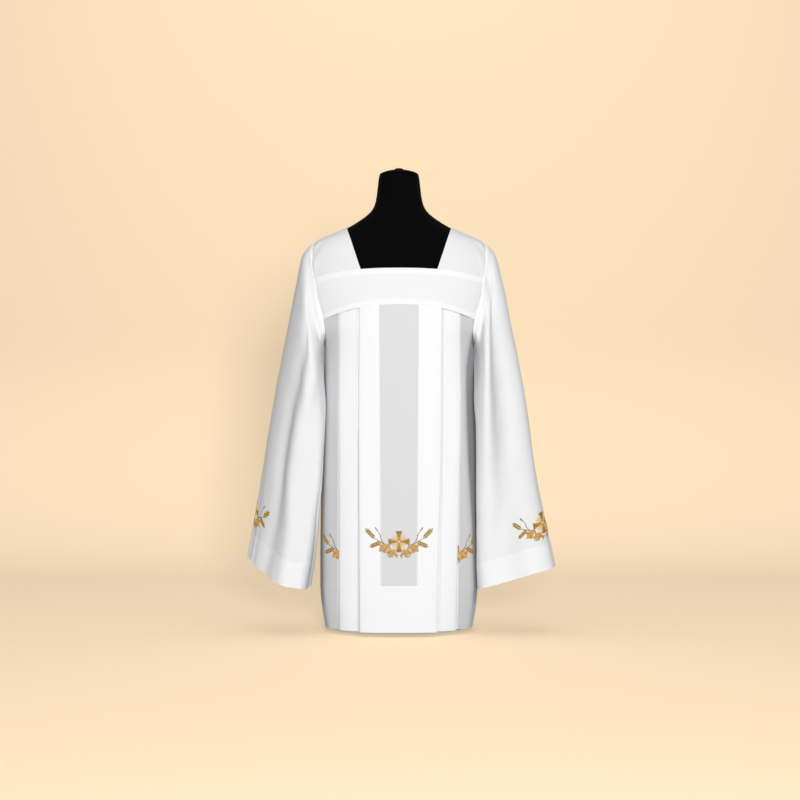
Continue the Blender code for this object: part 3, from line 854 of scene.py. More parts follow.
def add_backdrop():
    """A floor that rises behind into a wall, in one sweep, of cream paper that glows as painted light.
    """
    bend_y, radius, steps = 0.9, 0.8, 12
    profile = [(-4.0, 0.0), (bend_y, 0.0)]
    for step in range(1, steps + 1):
        turn = math.pi / 2 * step / steps
        profile.append((bend_y + radius * math.sin(turn), radius - radius * math.cos(turn)))
    profile.append((bend_y + radius, 5.0))
    rows = [[(x, y, z) for x in (-5.0, -1.7, 1.7, 5.0)] for y, z in profile]
    sweep = grid_mesh("backdrop", rows)
    sweep.data.shade_smooth()
    made, nodes, links, shader = blank_material("cream paper")
    set_inputs(shader, {
        "Base Color": (*BACKDROP, 1.0),
        "Roughness": 0.95,
        "Specular IOR Level": 0.1,
        "Emission Strength": 1.0,
    })
    # Painted light: the paper glows by itself, brighter on the floor and dimmer up the wall.
    place = nodes.new("ShaderNodeTexCoord")
    split = nodes.new("ShaderNodeSeparateXYZ")
    links.new(place.outputs["Object"], split.inputs[0])
    height = maths(nodes, links, "MULTIPLY", split.outputs["Z"], 1.4)
    links.new(colour_mix(nodes, links, height, FLOOR_GLOW, WALL_GLOW), shader.inputs["Emission Color"])
    sweep.data.materials.append(made)
    sweep.visible_diffuse = False


def add_lights():
    world = bpy.data.worlds.new("studio")
    world.use_nodes = True
    world.node_tree.nodes["Background"].inputs[0].default_value = (1.0, 1.0, 1.0, 1.0)
    world.node_tree.nodes["Background"].inputs[1].default_value = 0.22
    bpy.context.scene.world = world
    add_light("key", (0.35, -4.6, 1.05), (0.0, 0.0, 0.5), 1.1, 180.0)
    add_light("fill", (-2.2, -2.2, 1.2), (0.0, 0.0, 0.45), 2.0, 2.0)
    add_light("wall", (0.0, 0.4, 3.2), (0.0, 1.6, 0.8), 2.4, 15.0)
    bpy.context.scene.view_settings.view_transform = "Standard"


# Skirts

def skirt(side):
    """The pleated front or back, with its folds, creases, hem turn-up, show-through and painted shade.
    """
    rows = []
    for down in SKIRT_ROWS:
        z = skirt_z(0.0, down)
        centre = (0.0, cloth_y(0.0, z, side) - FACING[side] * CLOTH / 2, z)
        right_half = half_skirt_row(side, -1, down)
        left_half = half_skirt_row(side, 1, down)
        rows.append(right_half[::-1] + [centre] + left_half)
    piece = grid_mesh(f"cloth_skirt_{side}", rows)
    subdivide_smooth(piece, 2)
    face_outwards(piece, (0.0, 0.0))
    places = points_of(piece)
    x, y, z = places.T
    outward = FACING[side]
    for crease in SKIRT_CREASES:
        share = np.clip((crease.top_z - z) / (crease.top_z - crease.foot_z), 0.0, 1.0)
        away = (x - mix(crease.top_x, crease.foot_x, share)) / crease.width
        y -= outward * crease.depth * np.sin(math.pi * share) * np.exp(-away * away)
    above_hem = z - (HEM_HEIGHT + HEM_DEPTH)
    y += outward * HEM_RELIEF * (1 - smooth_step(-HEM_STEP, HEM_STEP, above_hem))
    move_points(piece, places)
    down = np.clip((YOKE_HEM - z) / (YOKE_HEM - HEM_HEIGHT), 0.0, 1.0)
    fold_x = mix(*STRIPE_X, down)
    softness = 0.0010 + 0.003 * down
    stripe = 1 - smooth_step(fold_x - softness, fold_x + softness, np.abs(x))
    single = stripe * smooth_step(0.0, 0.002, above_hem)
    # Painted shade: the side cloth that turns back under each arm goes fully grey.
    heights = [row.height for row in SIDE_FOLDS]
    left_fold = np.interp(z, heights, [row.left_x for row in SIDE_FOLDS])
    right_fold = np.interp(z, heights, [row.right_x for row in SIDE_FOLDS])
    turned_in_shade = smooth_step(-0.002, 0.006, np.maximum(x - left_fold, -x - right_fold))
    turned_in_shade *= smooth_step(0.020, 0.090, z)
    # Painted shade: a grey line on the lower layer just beyond each fold edge.
    shade = np.zeros(len(x))
    base = np.zeros(len(x))
    levels = np.linspace(0.0, 1.0, 15)
    for hand in HANDS.values():
        placed = np.array([fold_positions(hand, level) for level in levels])
        for fold in (0, 2):
            beyond = hand * x - np.interp(down, levels, placed[:, fold])
            near_edge = (beyond > FOLD_EDGE) * (1 - smooth_step(0.0015, 0.0065, beyond))
            shade = np.maximum(shade, near_edge)
        base = np.maximum(base, smooth_step(FOLD_EDGE, 0.0020, beyond))
    grey_share = np.maximum(np.maximum(STRIPE_VEIL * single, BASE_VEIL * base), EDGE_SHADE * shade)
    add_values(piece, "show_through", np.minimum(np.maximum(grey_share, turned_in_shade), 1.0))
    return finish_cloth(piece, f"skirt_{side}", (0.910, 0.740), 0.640, "gathered", f"yoke_{side}")


# Yokes and shoulders

def welt(distance):
    """A flat raised strip along an edge, at a distance in metres from that edge."""
    return WELT_RELIEF * (1 - smooth_step(WELT_WIDTH - 0.001, WELT_WIDTH + 0.0006, distance))


def yoke(side):
    """The band of the yoke, with a raised welt along its top seam and its lower seam."""
    across_steps = 120
    down_steps = 48
    facing = FACING[side]
    rows = []
    for i in range(down_steps + 1):
        down = i / down_steps
        edge_z = mix(YOKE_TOP_END[side], YOKE_HEM_END, down)
        row = []
        for j in range(across_steps + 1):
            across = 2 * j / across_steps - 1
            top_z = yoke_top_z(across * armhole_x_at(YOKE_TOP_END[side]), side) + YOKE_OVERLAP
            hem_z = yoke_hem_z(across * armhole_x_at(YOKE_HEM_END)) - YOKE_OVERLAP
            z = mix(top_z, hem_z, down)
            x = across * armhole_x_at(edge_z)
            nearest = np.array(min(top_z - z, z - hem_z))
            lift = float(welt(nearest)) - CLOTH / 2 + YOKE_LIFT
            row.append((x, cloth_y(x, z, side) + facing * lift, z))
        rows.append(row)
    piece = grid_mesh(f"cloth_yoke_{side}", rows)
    face_outwards(piece, (0.0, 0.0))
    places = points_of(piece)
    height = places[:, 2]
    seam_x = np.array([armhole_x_at(z) for z in height])
    places[:, 1] -= facing * SEAM_SINK * (1 - smooth_step(0.0, 0.007, seam_x - np.abs(places[:, 0])))
    move_points(piece, places)
    tops = np.array([yoke_top_z(x, side) for x in places[:, 0]])
    hems = np.array([yoke_hem_z(x) for x in places[:, 0]])
    near = np.minimum(tops - height, height - hems)
    grey_share = YOKE_VEIL * smooth_step(WELT_WIDTH - 0.001, WELT_WIDTH + 0.001, near)
    add_values(piece, "show_through", grey_share)
    cut_length, cut_area = YOKE_CUT[side]
    return finish_cloth(piece, f"yoke_{side}", (0.400, cut_length), cut_area, "draped", "form_torso")


def shoulder(word, hand):
    """The strap over one shoulder, with small puckers beside the armhole seam."""
    along_steps = 56
    across_steps = 26
    rows = []
    for i in range(along_steps + 1):
        along = 2 * i / along_steps - 1
        side = "front" if along < 0 else "back"
        share = along * along
        row = []
        for j in range(across_steps + 1):
            across = j / across_steps
            ridge_z = mix(NECK_POINT_Z, SHOULDER_POINT_Z, across)
            corner_x = NECK_CORNER_X[side]
            end_x = mix(corner_x, armhole_x_at(YOKE_TOP_END[side]), across)
            z = mix(ridge_z, yoke_top_z(end_x, side), share)
            neck_x = mix(NECK_POINT_X, corner_x, share)
            edge_z = mix(SHOULDER_POINT_Z, YOKE_TOP_END[side], share)
            x = mix(neck_x, armhole_x_at(edge_z), across)
            straight_x = mix(NECK_POINT_X, armhole_x_at(SHOULDER_POINT_Z), across)
            x += (half_width_at(ridge_z) - straight_x) * (1 - share)
            row.append((hand * x, cloth_y(x, z, side), z))
        rows.append(row)
    piece = grid_mesh(f"cloth_shoulder_{word}", rows)
    subdivide_smooth(piece, 1)
    face_outwards(piece, (0.0, 0.0))
    places = points_of(piece)
    normals = normals_of(piece)
    seam_x = np.array([armhole_x_at(z) for z in places[:, 2]])
    from_seam = seam_x - np.abs(places[:, 0])
    near_seam = np.exp(-((from_seam - PUCKER_FROM_SEAM) / PUCKER_BAND) ** 2)
    pucker = np.sin(places[:, 1] * 2 * math.pi / PUCKER_LENGTH + 0.6) * PUCKER_DEPTH
    sink = SEAM_SINK * (1 - smooth_step(0.0, 0.006, from_seam))
    lift = near_seam * pucker + SHOULDER_LIFT - sink
    lift += soft_unevenness(places) * smooth_step(0.0, 0.02, from_seam)
    places += normals * lift[:, None]
    move_points(piece, places)
    add_values(piece, "show_through", np.full(len(places), SHOULDER_VEIL))
    return finish_cloth(
        piece, f"shoulder_{word}", (0.110, 0.255), 0.0235, "draped", "form_torso"
    )


# Sleeves

def sleeve_column(columns, folds, hand, angle):
    """One line down a sleeve: its points, the share down it of each, and how far from both ends."""
    downs = np.linspace(0.0, 1.0, 61)
    line = np.array([sleeve_point(columns, folds, hand, angle, down) for down in downs])
    lengths = line_lengths(line)
    total = lengths[-1]
    middle = np.linspace(ARMHOLE_ROWS[-1], total - CUFF_ROWS[0], MIDDLE_ROWS + 2)[1:-1]
    stations = np.concatenate([ARMHOLE_ROWS, middle, total - np.array(CUFF_ROWS)])
    places = np.interp(stations, lengths, downs)
    points = [sleeve_point(columns, folds, hand, angle, down) for down in places]
    return points, places, stations, total - stations


def sleeve(cut):
    """One wide sleeve, with the creases it hangs in and a deep hem at the cuff."""
    columns = sleeve_columns(cut.table)
    lines = []
    for k in range(SLEEVE_POINTS):
        lines.append(sleeve_column(columns, cut.folds, cut.hand, 2 * math.pi * k / SLEEVE_POINTS))
    rows = list(zip(*[line[0] for line in lines]))
    downs = np.array([line[1] for line in lines]).T.ravel()
    from_armhole = np.array([line[2] for line in lines]).T.ravel()
    above_cuff = np.array([line[3] for line in lines]).T.ravel()
    piece = grid_mesh(f"cloth_sleeve_{cut.word}", rows, closed_rows=True)
    angles = np.tile(np.arange(SLEEVE_POINTS) * 360.0 / SLEEVE_POINTS, len(rows))
    centre = np.mean(np.array(rows[len(rows) // 2]), axis=0)
    face_outwards(piece, (centre[0], centre[1]))
    normals = normals_of(piece)
    places = points_of(piece)
    moved = np.zeros(len(places))
    for crease in cut.creases:
        middle = smooth_values(downs, crease.downs, crease.angles)
        width = np.interp(downs, crease.downs, crease.widths)
        depth = smooth_values(downs, crease.downs, crease.depths)
        away = ((angles - middle + 180) % 360 - 180) / width
        moved -= depth * np.exp(-away * away)
        # Painted shade down the first, deepest crease, on the left sleeve only.
        if crease is cut.creases[0]:
            shade = CREASE_SHADE[cut.hand] * depth / DEEP_CREASE * np.exp(-away * away)
    moved += HEM_RELIEF * (1 - smooth_step(CUFF_DEPTH - HEM_STEP, CUFF_DEPTH + HEM_STEP, above_cuff))
    ridge = (from_armhole - ARMHOLE_RIDGE) / ARMHOLE_RIDGE_WIDTH
    moved += ARMHOLE_RELIEF * np.exp(-ridge * ridge)
    moved -= SEAM_SINK * (1 - smooth_step(0.0, 0.004, from_armhole))
    moved += soft_unevenness(places) * smooth_step(0.0, 0.05, from_armhole)
    move_points(piece, places + normals * moved[:, None])
    open_cloth = smooth_step(CUFF_DEPTH - 0.0005, CUFF_DEPTH + 0.0008, above_cuff)
    open_cloth *= smooth_step(0.008, 0.012, from_armhole)
    # Painted shade on the sleeve's inner side, growing towards the cuff.
    inside = SHADED_INSIDE[cut.hand]
    turned_in_shade = smooth_step(inside.first_angle, inside.full_angle, angles)
    turned_in_shade *= 1 - smooth_step(180.0, 200.0, angles)
    turned_in_shade *= inside.amount * smooth_step(inside.first_down, inside.full_down, downs)
    grey_share = np.maximum(SLEEVE_VEIL * open_cloth, turned_in_shade)
    add_values(piece, "show_through", np.maximum(grey_share, shade))
    subdivide_smooth(piece, 1)
    return finish_cloth(
        piece, f"sleeve_{cut.word}", (0.560, 0.780), 0.287, "hung", "yoke_front", "yoke_back"
    )


# The dress form

def finer_copy(node, name, levels, material, slot):
    """A smoother copy of a solid of the dress form, with its own finish."""
    piece = add_object(name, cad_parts[node].data.copy())
    only(piece)
    bpy.ops.object.mode_set(mode="EDIT")
    bpy.ops.mesh.select_all(action="SELECT")
    bpy.ops.mesh.remove_doubles(threshold=0.00001)
    bpy.ops.mesh.tris_convert_to_quads(face_threshold=0.9, shape_threshold=0.9)
    bpy.ops.object.mode_set(mode="OBJECT")
    subdivide_smooth(piece, levels)
    piece.data.shade_smooth()
    finish_piece(piece, material, slot, node)


def dress_form():
    finer_copy("form_torso", "covered_torso", 2, JERSEY, "black_jersey")
    finer_copy("form_neck_cap", "neck_cap", 1, JERSEY, "black_jersey")
    for node in ("form_foot", "form_socket", "form_post"):
        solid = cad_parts[node]
        for slot in solid.material_slots:
            slot.material = STEEL


# Embroidery

STITCH_SIDES = 6

# Top-stitching, in metres
STITCH_PITCH = 0.0034
STITCH_LENGTH = 0.0024
STITCH_THREAD = 0.00045
STITCH_COLOUR = (0.93, 0.93, 0.92)
STITCH_INSET = 0.0022
WELT_STITCH_INSET = 0.0020
HEM_STITCH_REACH = 0.176
PROBE_START = 0.03

# Places of the motifs, in metres or as a share of the sleeve
FRONT_MOTIF_Z = 0.2152
SIDE_MOTIF_Z = 0.196
SIDE_MOTIF_X = {1: 0.115, -1: 0.110}
SLEEVE_MOTIF_DOWN = 0.873
SLEEVE_FALL = 0.88
SLEEVE_MIDDLE = (0.265, -0.03)

# Embroidery, in millimetres, which MOTIF_SCALE turns into metres
MOTIF_SCALE = 0.001
THREAD_STEP = 0.55
THREAD_WIDTH = 0.62
FULL_LIFT = 1.5
WIDTH_RANGE = (0.95, 1.06)
TINT_RANGE = (0.88, 1.12)
PATCH_X = (-82.0, 82.0)
PATCH_Z = (-40.0, 36.0)
PATCH_COLUMNS = 56
PATCH_ROWS = 26


def between(points, share):
    """A point and a direction along a smooth path through a few points, at a share of it."""
    count = len(points) - 1
    place = min(max(share, 0.0), 1.0) * count
    i = min(int(place), count - 1)
    t = place - i
    before = points[max(i - 1, 0)]
    after = points[min(i + 2, count)]
    spot = []
    slope = []
    for p0, p1, p2, p3 in zip(before, points[i], points[i + 1], after):
        m1, m2 = (p2 - p0) / 2, (p3 - p1) / 2
        spot.append(eased(p1, m1, p2, m2, t))
        slope.append(
            p1 * (6 * t**2 - 6 * t) + m1 * (3 * t**2 - 4 * t + 1)
            + p2 * (6 * t - 6 * t**2) + m2 * (3 * t**2 - 2 * t)
        )
    return spot, slope


def satin_stitches(satin, random):
    """Stitches side by side across a path, as (start, end, colour), in millimetres."""
    length = sum(math.dist(a, b) for a, b in zip(satin.path, satin.path[1:]))
    count = max(int(length / THREAD_STEP), 2)
    made = []
    for i in range(count + 1):
        share = i / count
        (x, z), (dx, dz) = between(satin.path, share)
        size = math.hypot(dx, dz) or 1.0
        dx, dz = dx / size, dz / size
        place = share * (len(satin.widths) - 1)
        k = min(int(place), len(satin.widths) - 2)
        half = mix(satin.widths[k], satin.widths[k + 1], place - k) / 2
        half *= random.uniform(*WIDTH_RANGE)
        lean = satin.slant * half
        start = (x - dz * half - dx * lean, z + dx * half - dz * lean)
        end = (x + dz * half + dx * lean, z - dx * half + dz * lean)
        tint = random.uniform(*TINT_RANGE)
        made.append((start, end, tuple(min(c * tint, 1.0) for c in satin.colour)))
    return made


def leaf_shapes(x, z, turn, size):
    """A vine leaf of five broad lobes round its stalk, with a pale vein in each lobe."""
    shapes = []
    for way, reach in ((-122, 0.66), (-64, 0.90), (0, 1.0), (64, 0.90), (122, 0.66)):
        angle = math.radians(turn + way)
        tip = (x + size * reach * math.cos(angle), z + size * reach * math.sin(angle))
        middle = (mix(x, tip[0], 0.55), mix(z, tip[1], 0.55))
        wide = size * reach * 0.86
        colour = GOLD_LEAF if abs(way) == 64 else ORANGE
        shapes.append(Satin([(x, z), middle, tip], [wide * 0.5, wide, wide * 0.7, 0.6], colour, 0.25))
        shapes.append(Satin([(x, z), middle], [1.0, 0.6], PALE, 0.0))
    return shapes


def ear_shapes(start, end, colour):
    """A wheat ear: plump grains in pairs along a stalk and one at the tip."""
    length = math.dist(start, end)
    dx, dz = (end[0] - start[0]) / length, (end[1] - start[1]) / length

    def step_from(point, along, across=0.0):
        return (point[0] + dx * along - dz * across, point[1] + dz * along + dx * across)

    shapes = []
    for pair in range(5):
        for way in (-1, 1):
            foot = step_from(start, length * (0.02 + 0.15 * pair), way * 0.8)
            tip = step_from(foot, 6.4, way * 3.4)
            shapes.append(Satin([foot, tip], [1.2, 3.8, 3.4, 0.5], colour, 0.4 * way))
    last_foot = step_from(start, length * 0.72)
    shapes.append(Satin([last_foot, end], [1.4, 4.0, 2.4, 0.5], colour, 0.3))
    stalk_end = step_from(start, length * 0.8)
    shapes.append(Satin([start, stalk_end], [0.9, 0.7], PALE, 0.0))
    return shapes


def grape_shapes(x, z):
    """A small bunch of round berries."""
    shapes = []
    for bx, bz in ((-2.4, 1.8), (0.7, 2.3), (3.0, 0.9), (-1.0, -1.0), (1.7, -1.6), (0.2, -4.2)):
        centre = (x + bx, z + bz)
        path = [(centre[0], centre[1] + 1.6), (centre[0], centre[1] - 1.6)]
        shapes.append(Satin(path, [0.7, 2.5, 3.2, 2.5, 0.7], GOLD, 0.0))
    return shapes


def turned(points, turn):
    """Points turned about the middle of the cross, by degrees."""
    c, s = math.cos(math.radians(turn)), math.sin(math.radians(turn))
    return [(x * c - z * s, x * s + z * c) for x, z in points]


def cross_shapes():
    """A cross with four flared arms, a pale line at the root of each, and a halo of rays."""
    shapes = []
    for step in range(36):
        turn = 10 * step + 5
        from_arm = min(turn % 90, 90 - turn % 90)
        far = mix(15.5, 21.5, from_arm / 45) - (1.6 if step % 2 else 0.0)
        ray = turned([(7.0, 0.0), (far, 0.0)], turn)
        shapes.append(Satin(ray, [1.7, 1.5, 0.5], HALO, 0.5))
    for turn in (0, 90, 180, 270):
        filling = turned([(7.0, 0.0), (21.5, 0.0)], turn)
        shapes.append(Satin(filling, [2.0, 6.5], GOLD, 0.0))
        for way in (-1, 1):
            edge = turned([(3.0, way * 1.5), (12.0, way * 2.1), (22.0, way * 3.6)], turn)
            shapes.append(Satin(edge, [2.3, 3.4, 6.6], GOLD, 0.2 * way))
        arm_end = turned([(21.8, 0.0), (23.6, 0.0)], turn)
        shapes.append(Satin(arm_end, [13.6, 14.6], GOLD, 0.0))
        pale_line = turned([(3.0, 0.0), (11.0, 0.0)], turn)
        shapes.append(Satin(pale_line, [1.2, 0.8, 0.5], PALE, 0.0))
    shapes.append(Satin([(-3.4, 0.0), (0.0, 0.0), (3.4, 0.0)], [2.6, 6.6, 2.6], PALE, 0.0))
    return shapes


def spray_shapes():
    """One side of the motif: two vine leaves, grapes, two wheat ears, stems and a bud."""
    shapes = []
    shapes += grape_shapes(-6.0, -31.0)
    shapes += leaf_shapes(-16.5, -22.0, 262.0, 14.0)
    shapes += leaf_shapes(-33.5, -14.0, 215.0, 13.5)
    shapes += leaf_shapes(-25.0, -12.0, 120.0, 8.0)
    shapes += ear_shapes((-56.0, 8.5), (-76.5, 30.0), OLIVE)
    shapes += ear_shapes((-41.5, -1.5), (-67.0, -12.5), GOLD)
    long_stem = [(-19.0, -16.0), (-33.0, -6.0), (-45.0, 1.5), (-58.0, 8.5)]
    bud_stem = [(-29.0, -9.0), (-39.0, 3.0), (-42.5, 15.0), (-50.0, 27.0)]
    tendril = [(-27.0, -29.0), (-23.0, -33.5), (-17.0, -35.0), (-12.5, -32.5)]
    shapes.append(Satin(long_stem, [1.3, 1.2, 1.0], STEM, 0.8))
    shapes.append(Satin(bud_stem, [1.2, 1.2, 1.1], STEM, 0.8))
    shapes.append(Satin([(-49.0, 25.0), (-51.5, 28.5), (-53.5, 32.5)], [1.2, 3.4, 0.6], STEM, 0.3))
    shapes.append(Satin(tendril, [1.0, 0.9, 0.8], STEM, 0.8))
    return shapes


def motif_shapes():
    """The motif in millimetres about the middle of its cross."""
    shapes = []
    for way in (-1, 1):
        for shape in spray_shapes():
            shapes.append(shape._replace(path=[(way * -x, z) for x, z in shape.path]))
    return shapes + cross_shapes()


def one_stitch():
    """The mesh of a stitch one unit long: a six-sided thread that dips into the cloth at its ends."""
    bpy.ops.object.select_all(action="DESELECT")
    bpy.ops.mesh.primitive_cylinder_add(
        vertices=STITCH_SIDES, radius=0.5, depth=1.0, end_fill_type="NOTHING"
    )
    thread = bpy.context.active_object
    bpy.ops.object.mode_set(mode="EDIT")
    bpy.ops.mesh.select_all(action="SELECT")
    bpy.ops.mesh.subdivide(number_cuts=1)
    bpy.ops.object.mode_set(mode="OBJECT")
    levels = sorted({round(v.co.z, 4) for v in thread.data.vertices})
    rings = []
    for level in (levels[0], 0.0, levels[-1]):
        ring = [v.co.copy() for v in thread.data.vertices if abs(v.co.z - level) < 0.01]
        ring.sort(key=lambda p: math.atan2(p.y, p.x))
        rings.append(ring)
    bpy.data.objects.remove(thread)
    sides = STITCH_SIDES
    shape = []
    for ring, width in zip(rings, (0.55, 1.0, 0.55)):
        step = len(ring) // sides
        for k in range(sides):
            point = ring[k * step]
            shape.append((point.z, point.x * width, point.y * width + (0.5 if width == 1.0 else 0.1)))
    faces = []
    for r in range(2):
        for k in range(sides):
            j = (k + 1) % sides
            faces.append((r * sides + k, r * sides + j, (r + 1) * sides + j, (r + 1) * sides + k))
    faces.append(tuple(range(sides - 1, -1, -1)))
    faces.append(tuple(2 * sides + k for k in range(sides)))
    return np.array(shape), faces


STITCH_SHAPE, STITCH_FACES = one_stitch()


def grid_cell(values, limits, count):
    """Where values fall in an even grid: the cell, and the share of the way through it."""
    low, high = limits
    place = np.clip((values - low) / (high - low) * (count - 1), 0, count - 1.001)
    cell = place.astype(int)
    return cell, (place - cell)[:, None]


def lay_stitches(name, stitches, points, normals):
    """Copies the stitch along each (start, end, colour), laid on a patch of cloth, as one mesh."""
    starts = np.array([stitch[0] for stitch in stitches])
    ends = np.array([stitch[1] for stitch in stitches])
    along = ends - starts
    length = np.maximum(np.linalg.norm(along, axis=1), 0.05)
    unit = along / length[:, None]
    side = np.stack([-unit[:, 1], unit[:, 0]], axis=1)
    middle = (starts + ends) / 2
    reach = STITCH_SHAPE[None, :, 0] * (length[:, None] + THREAD_WIDTH)
    flat = (
        middle[:, None, :]
        + unit[:, None, :] * reach[:, :, None]
        + side[:, None, :] * (STITCH_SHAPE[:, 1] * THREAD_WIDTH)[None, :, None]
    ).reshape(-1, 2)
    lift = np.minimum(0.35 + 0.12 * length, FULL_LIFT)
    height = (STITCH_SHAPE[None, :, 2] * THREAD_WIDTH * lift[:, None]).ravel() * MOTIF_SCALE
    column, across = grid_cell(flat[:, 0], PATCH_X, PATCH_COLUMNS)
    row, down = grid_cell(flat[:, 1], PATCH_Z, PATCH_ROWS)

    def blended(field):
        first = field[row, column] * (1 - across) + field[row, column + 1] * across
        second = field[row + 1, column] * (1 - across) + field[row + 1, column + 1] * across
        return first * (1 - down) + second * down

    normal = blended(normals)
    normal /= np.linalg.norm(normal, axis=1)[:, None]
    places = blended(points) + normal * (height + CLOTH / 2)[:, None]
    thread_piece(name, places, [stitch[2] for stitch in stitches], "gold_thread")


def thread_piece(name, places, colours, slot):
    """Many copies of the stitch as one piece, each with its own colour."""
    size = len(STITCH_SHAPE)
    count = len(places) // size
    faces = [tuple(i * size + v for v in face) for i in range(count) for face in STITCH_FACES]
    mesh = bpy.data.meshes.new(name)
    mesh.from_pydata(np.asarray(places).tolist(), [], faces)
    tints = np.repeat(np.array([(*colour, 1.0) for colour in colours]), size, axis=0)
    layer = mesh.attributes.new("thread_colour", "FLOAT_COLOR", "POINT")
    layer.data.foreach_set("color", tints.ravel())
    mesh.shade_smooth()
    piece = add_object(name, mesh)
    only(piece)
    bpy.ops.object.mode_set(mode="EDIT")
    bpy.ops.mesh.select_all(action="SELECT")
    bpy.ops.mesh.normals_make_consistent(inside=False)
    bpy.ops.object.mode_set(mode="OBJECT")
    finish_piece(piece, THREAD, slot)


def run_of_stitches(line, tree, inward):
    """Even stitches along a line on the cloth: the points of each, laid on the outer layer."""
    line = np.array(line, dtype=float)
    lengths = line_lengths(line)
    made = []
    for i in range(int(lengths[-1] / STITCH_PITCH)):
        ends = []
        for reach in (0.0, STITCH_LENGTH):
            place = Vector(along_line(line, lengths, i * STITCH_PITCH + reach + 0.0005))
            into = inward(place).normalized()
            found, normal, _, _ = tree.ray_cast(place - into * PROBE_START, into)
            if found is not None:
                ends.append((found, -normal if normal.dot(into) > 0 else normal))
        if len(ends) < 2 or (ends[0][0] - ends[1][0]).length > 1.3 * STITCH_LENGTH:
            continue
        along = ends[1][0] - ends[0][0]
        normal = ends[0][1]
        side = normal.cross(along).normalized()
        middle = (ends[0][0] + ends[1][0]) / 2 + normal * CLOTH / 2
        for x, y, height in STITCH_SHAPE:
            offset = side * (y * STITCH_THREAD) + normal * (height * STITCH_THREAD * 0.7)
            made.append(tuple(middle + along * (x * 1.15) + offset))
    return made


def cloth_patch(spot, tree, away):
    """The cloth under a motif, as grids of points and of normals, snapped to the finished sheet."""
    points = np.empty((PATCH_ROWS, PATCH_COLUMNS, 3))
    normals = np.empty_like(points)
    for row in range(PATCH_ROWS):
        z = mix(*PATCH_Z, row / (PATCH_ROWS - 1))
        for column in range(PATCH_COLUMNS):
            x = mix(*PATCH_X, column / (PATCH_COLUMNS - 1))
            place = Vector(spot(x * MOTIF_SCALE, z * MOTIF_SCALE))
            found, normal, _, _ = tree.find_nearest(place)
            points[row, column] = found
            normals[row, column] = -normal if normal.dot(away(place)) < 0 else normal
    return points, normals


MOTIF = motif_shapes()


def embroider(name, spot, tree, away, random):
    """One motif, with its own draw of stitch widths and tints."""
    stitches = []
    for shape in MOTIF:
        stitches += satin_stitches(shape, random)
    lay_stitches(name, stitches, *cloth_patch(spot, tree, away))


def centre_spot(side):
    """Where a motif on the centre panel lies."""
    def spot(x, z):
        height = FRONT_MOTIF_Z + z
        across = x if side == "front" else -x
        return (across, cloth_y(across, height, side) - FACING[side] * CLOTH / 2, height)

    return spot


def base_layer_spot(side, hand):
    """Where a motif on the base layer beside the pleats lies, measured along the cloth."""
    base_points = LAST_LAYER_POINTS + 2 + len(SIDE_SHARES)

    @lru_cache(maxsize=None)
    def line_at(height):
        top = yoke_hem_z(SIDE_MOTIF_X[hand] + 0.03)
        down = (top - height) / (top - HEM_HEIGHT)
        base = np.array(half_skirt_row(side, hand, down))[-base_points:]
        start = abs(base[0][0])
        return base, line_lengths(base) - (SIDE_MOTIF_X[hand] - start)

    def spot(x, z):
        points, lengths = line_at(SIDE_MOTIF_Z + z)
        outward = x * hand if side == "front" else -x * hand
        place = along_line(points, lengths, outward)
        return (place[0], place[1], SIDE_MOTIF_Z + z)

    return spot


def sleeve_spot(cut):
    """Where a motif on a sleeve's outer fold lies, measured round the sleeve and up it."""
    columns = sleeve_columns(cut.table)
    angles = np.radians(np.arange(-150, 151, 3))
    outer_fold = len(angles) // 2

    @lru_cache(maxsize=None)
    def line_at(down):
        ring = np.array([sleeve_point(columns, cut.folds, cut.hand, a, down) for a in angles])
        lengths = line_lengths(ring)
        return ring, lengths - lengths[outer_fold]

    def spot(x, z):
        ring, lengths = line_at(min(SLEEVE_MOTIF_DOWN - z / SLEEVE_FALL, 1.0))
        return tuple(along_line(ring, lengths, -x * cut.hand + cut.motif_shift))

    return spot


def embroidery(trees):
    """Eight motifs: three on the front, three on the back, and one on each sleeve."""
    random = Random(7)
    for side in FACING:
        cloth = trees[f"skirt_{side}"]
        facing = Vector((0.0, FACING[side], 0.0))
        embroider(f"embroidery_{side}_centre", centre_spot(side), cloth, lambda p: facing, random)
        for word, hand in HANDS.items():
            outwards = Vector((0.5 * hand, FACING[side], 0.0))
            spot = base_layer_spot(side, hand)
            embroider(f"embroidery_{side}_{word}", spot, cloth, lambda p: outwards, random)
    for cut in SLEEVES:
        middle = Vector((SLEEVE_MIDDLE[0] * cut.hand, SLEEVE_MIDDLE[1], 0.0))
        embroider(
            f"embroidery_sleeve_{cut.word}", sleeve_spot(cut), trees[f"sleeve_{cut.word}"],
            lambda p: Vector((p.x, p.y, 0.0)) - middle, random,
        )


def stitching(name, places):
    """Rows of white stitches as one piece."""
    colours = [STITCH_COLOUR] * (len(places) // len(STITCH_SHAPE))
    thread_piece(name, places, colours, "white_cloth")


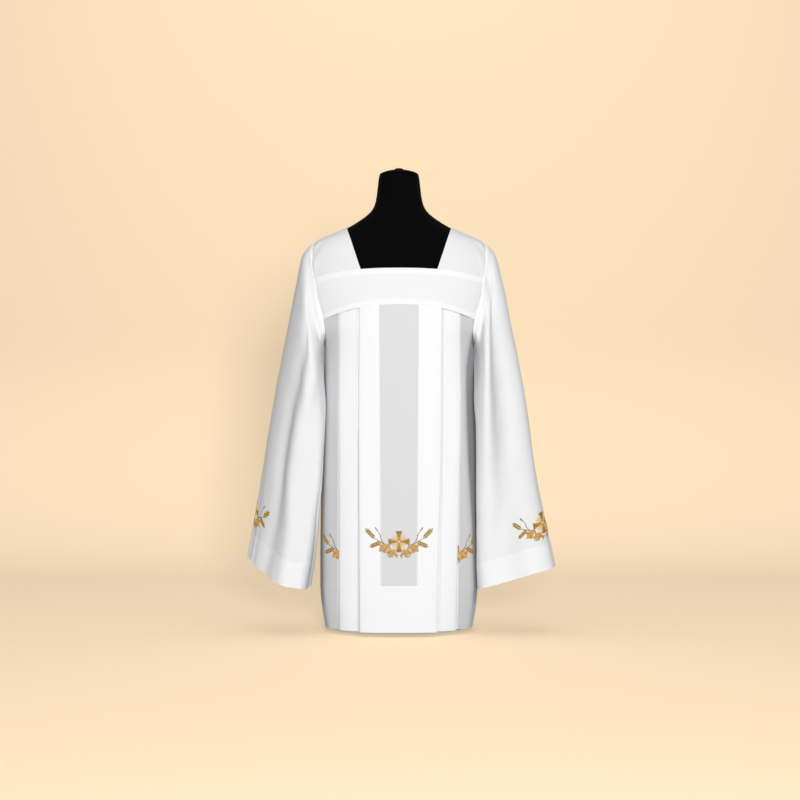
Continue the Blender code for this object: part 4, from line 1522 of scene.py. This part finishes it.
def straight_stitching(side, trees):
    """The stitches along both edges of both welts of a yoke, and along a hem turn-up."""
    def into_body(place):
        return Vector((0.0, -FACING[side], 0.0))

    def across(tree, reach, steps, height_at, inset):
        line = []
        for x in np.linspace(-reach, reach, steps):
            line.append((x, cloth_y(x, height_at(x), side), height_at(x) + inset))
        return run_of_stitches(line, tree, into_body)

    made = []
    band = trees[f"yoke_{side}"]
    reach_top = armhole_x_at(YOKE_TOP_END[side]) - 0.008
    reach_hem = armhole_x_at(YOKE_HEM_END) - 0.006
    for inset in (WELT_STITCH_INSET, WELT_WIDTH - WELT_STITCH_INSET):
        made += across(band, reach_top, 41, lambda x: yoke_top_z(x, side), -inset)
        made += across(band, reach_hem, 41, yoke_hem_z, inset)
    turn_up_z = HEM_HEIGHT + HEM_DEPTH - STITCH_INSET
    made += across(trees[f"skirt_{side}"], HEM_STITCH_REACH, 61, lambda x: turn_up_z, 0.0)
    stitching(f"stitching_{side}", made)


def cuff_stitching(cut, trees):
    """The stitches round a cuff, just under the top of its turn-up."""
    columns = sleeve_columns(cut.table)
    steps = 72
    ring = []
    for k in range(steps + 1):
        angle = 2 * math.pi * k / steps
        points, _, _, above = sleeve_column(columns, cut.folds, cut.hand, angle)
        nearest = int(np.argmin(np.abs(above - (CUFF_DEPTH - STITCH_INSET))))
        ring.append(points[nearest])
    centre = Vector(np.mean(np.array(ring[:-1]), axis=0))

    def into_sleeve(place):
        return Vector((centre.x - place.x, centre.y - place.y, 0.0))

    stitching(
        f"stitching_cuff_{cut.word}",
        run_of_stitches(ring, trees[f"sleeve_{cut.word}"], into_sleeve),
    )


# Putting it together

add_camera()
add_lights()
add_backdrop()

trees = {}
for side in FACING:
    trees[f"skirt_{side}"] = skirt(side)
    trees[f"yoke_{side}"] = yoke(side)
for word, hand in HANDS.items():
    shoulder(word, hand)
for cut in SLEEVES:
    trees[f"sleeve_{cut.word}"] = sleeve(cut)
dress_form()
embroidery(trees)
for side in FACING:
    straight_stitching(side, trees)
for cut in SLEEVES:
    cuff_stitching(cut, trees)
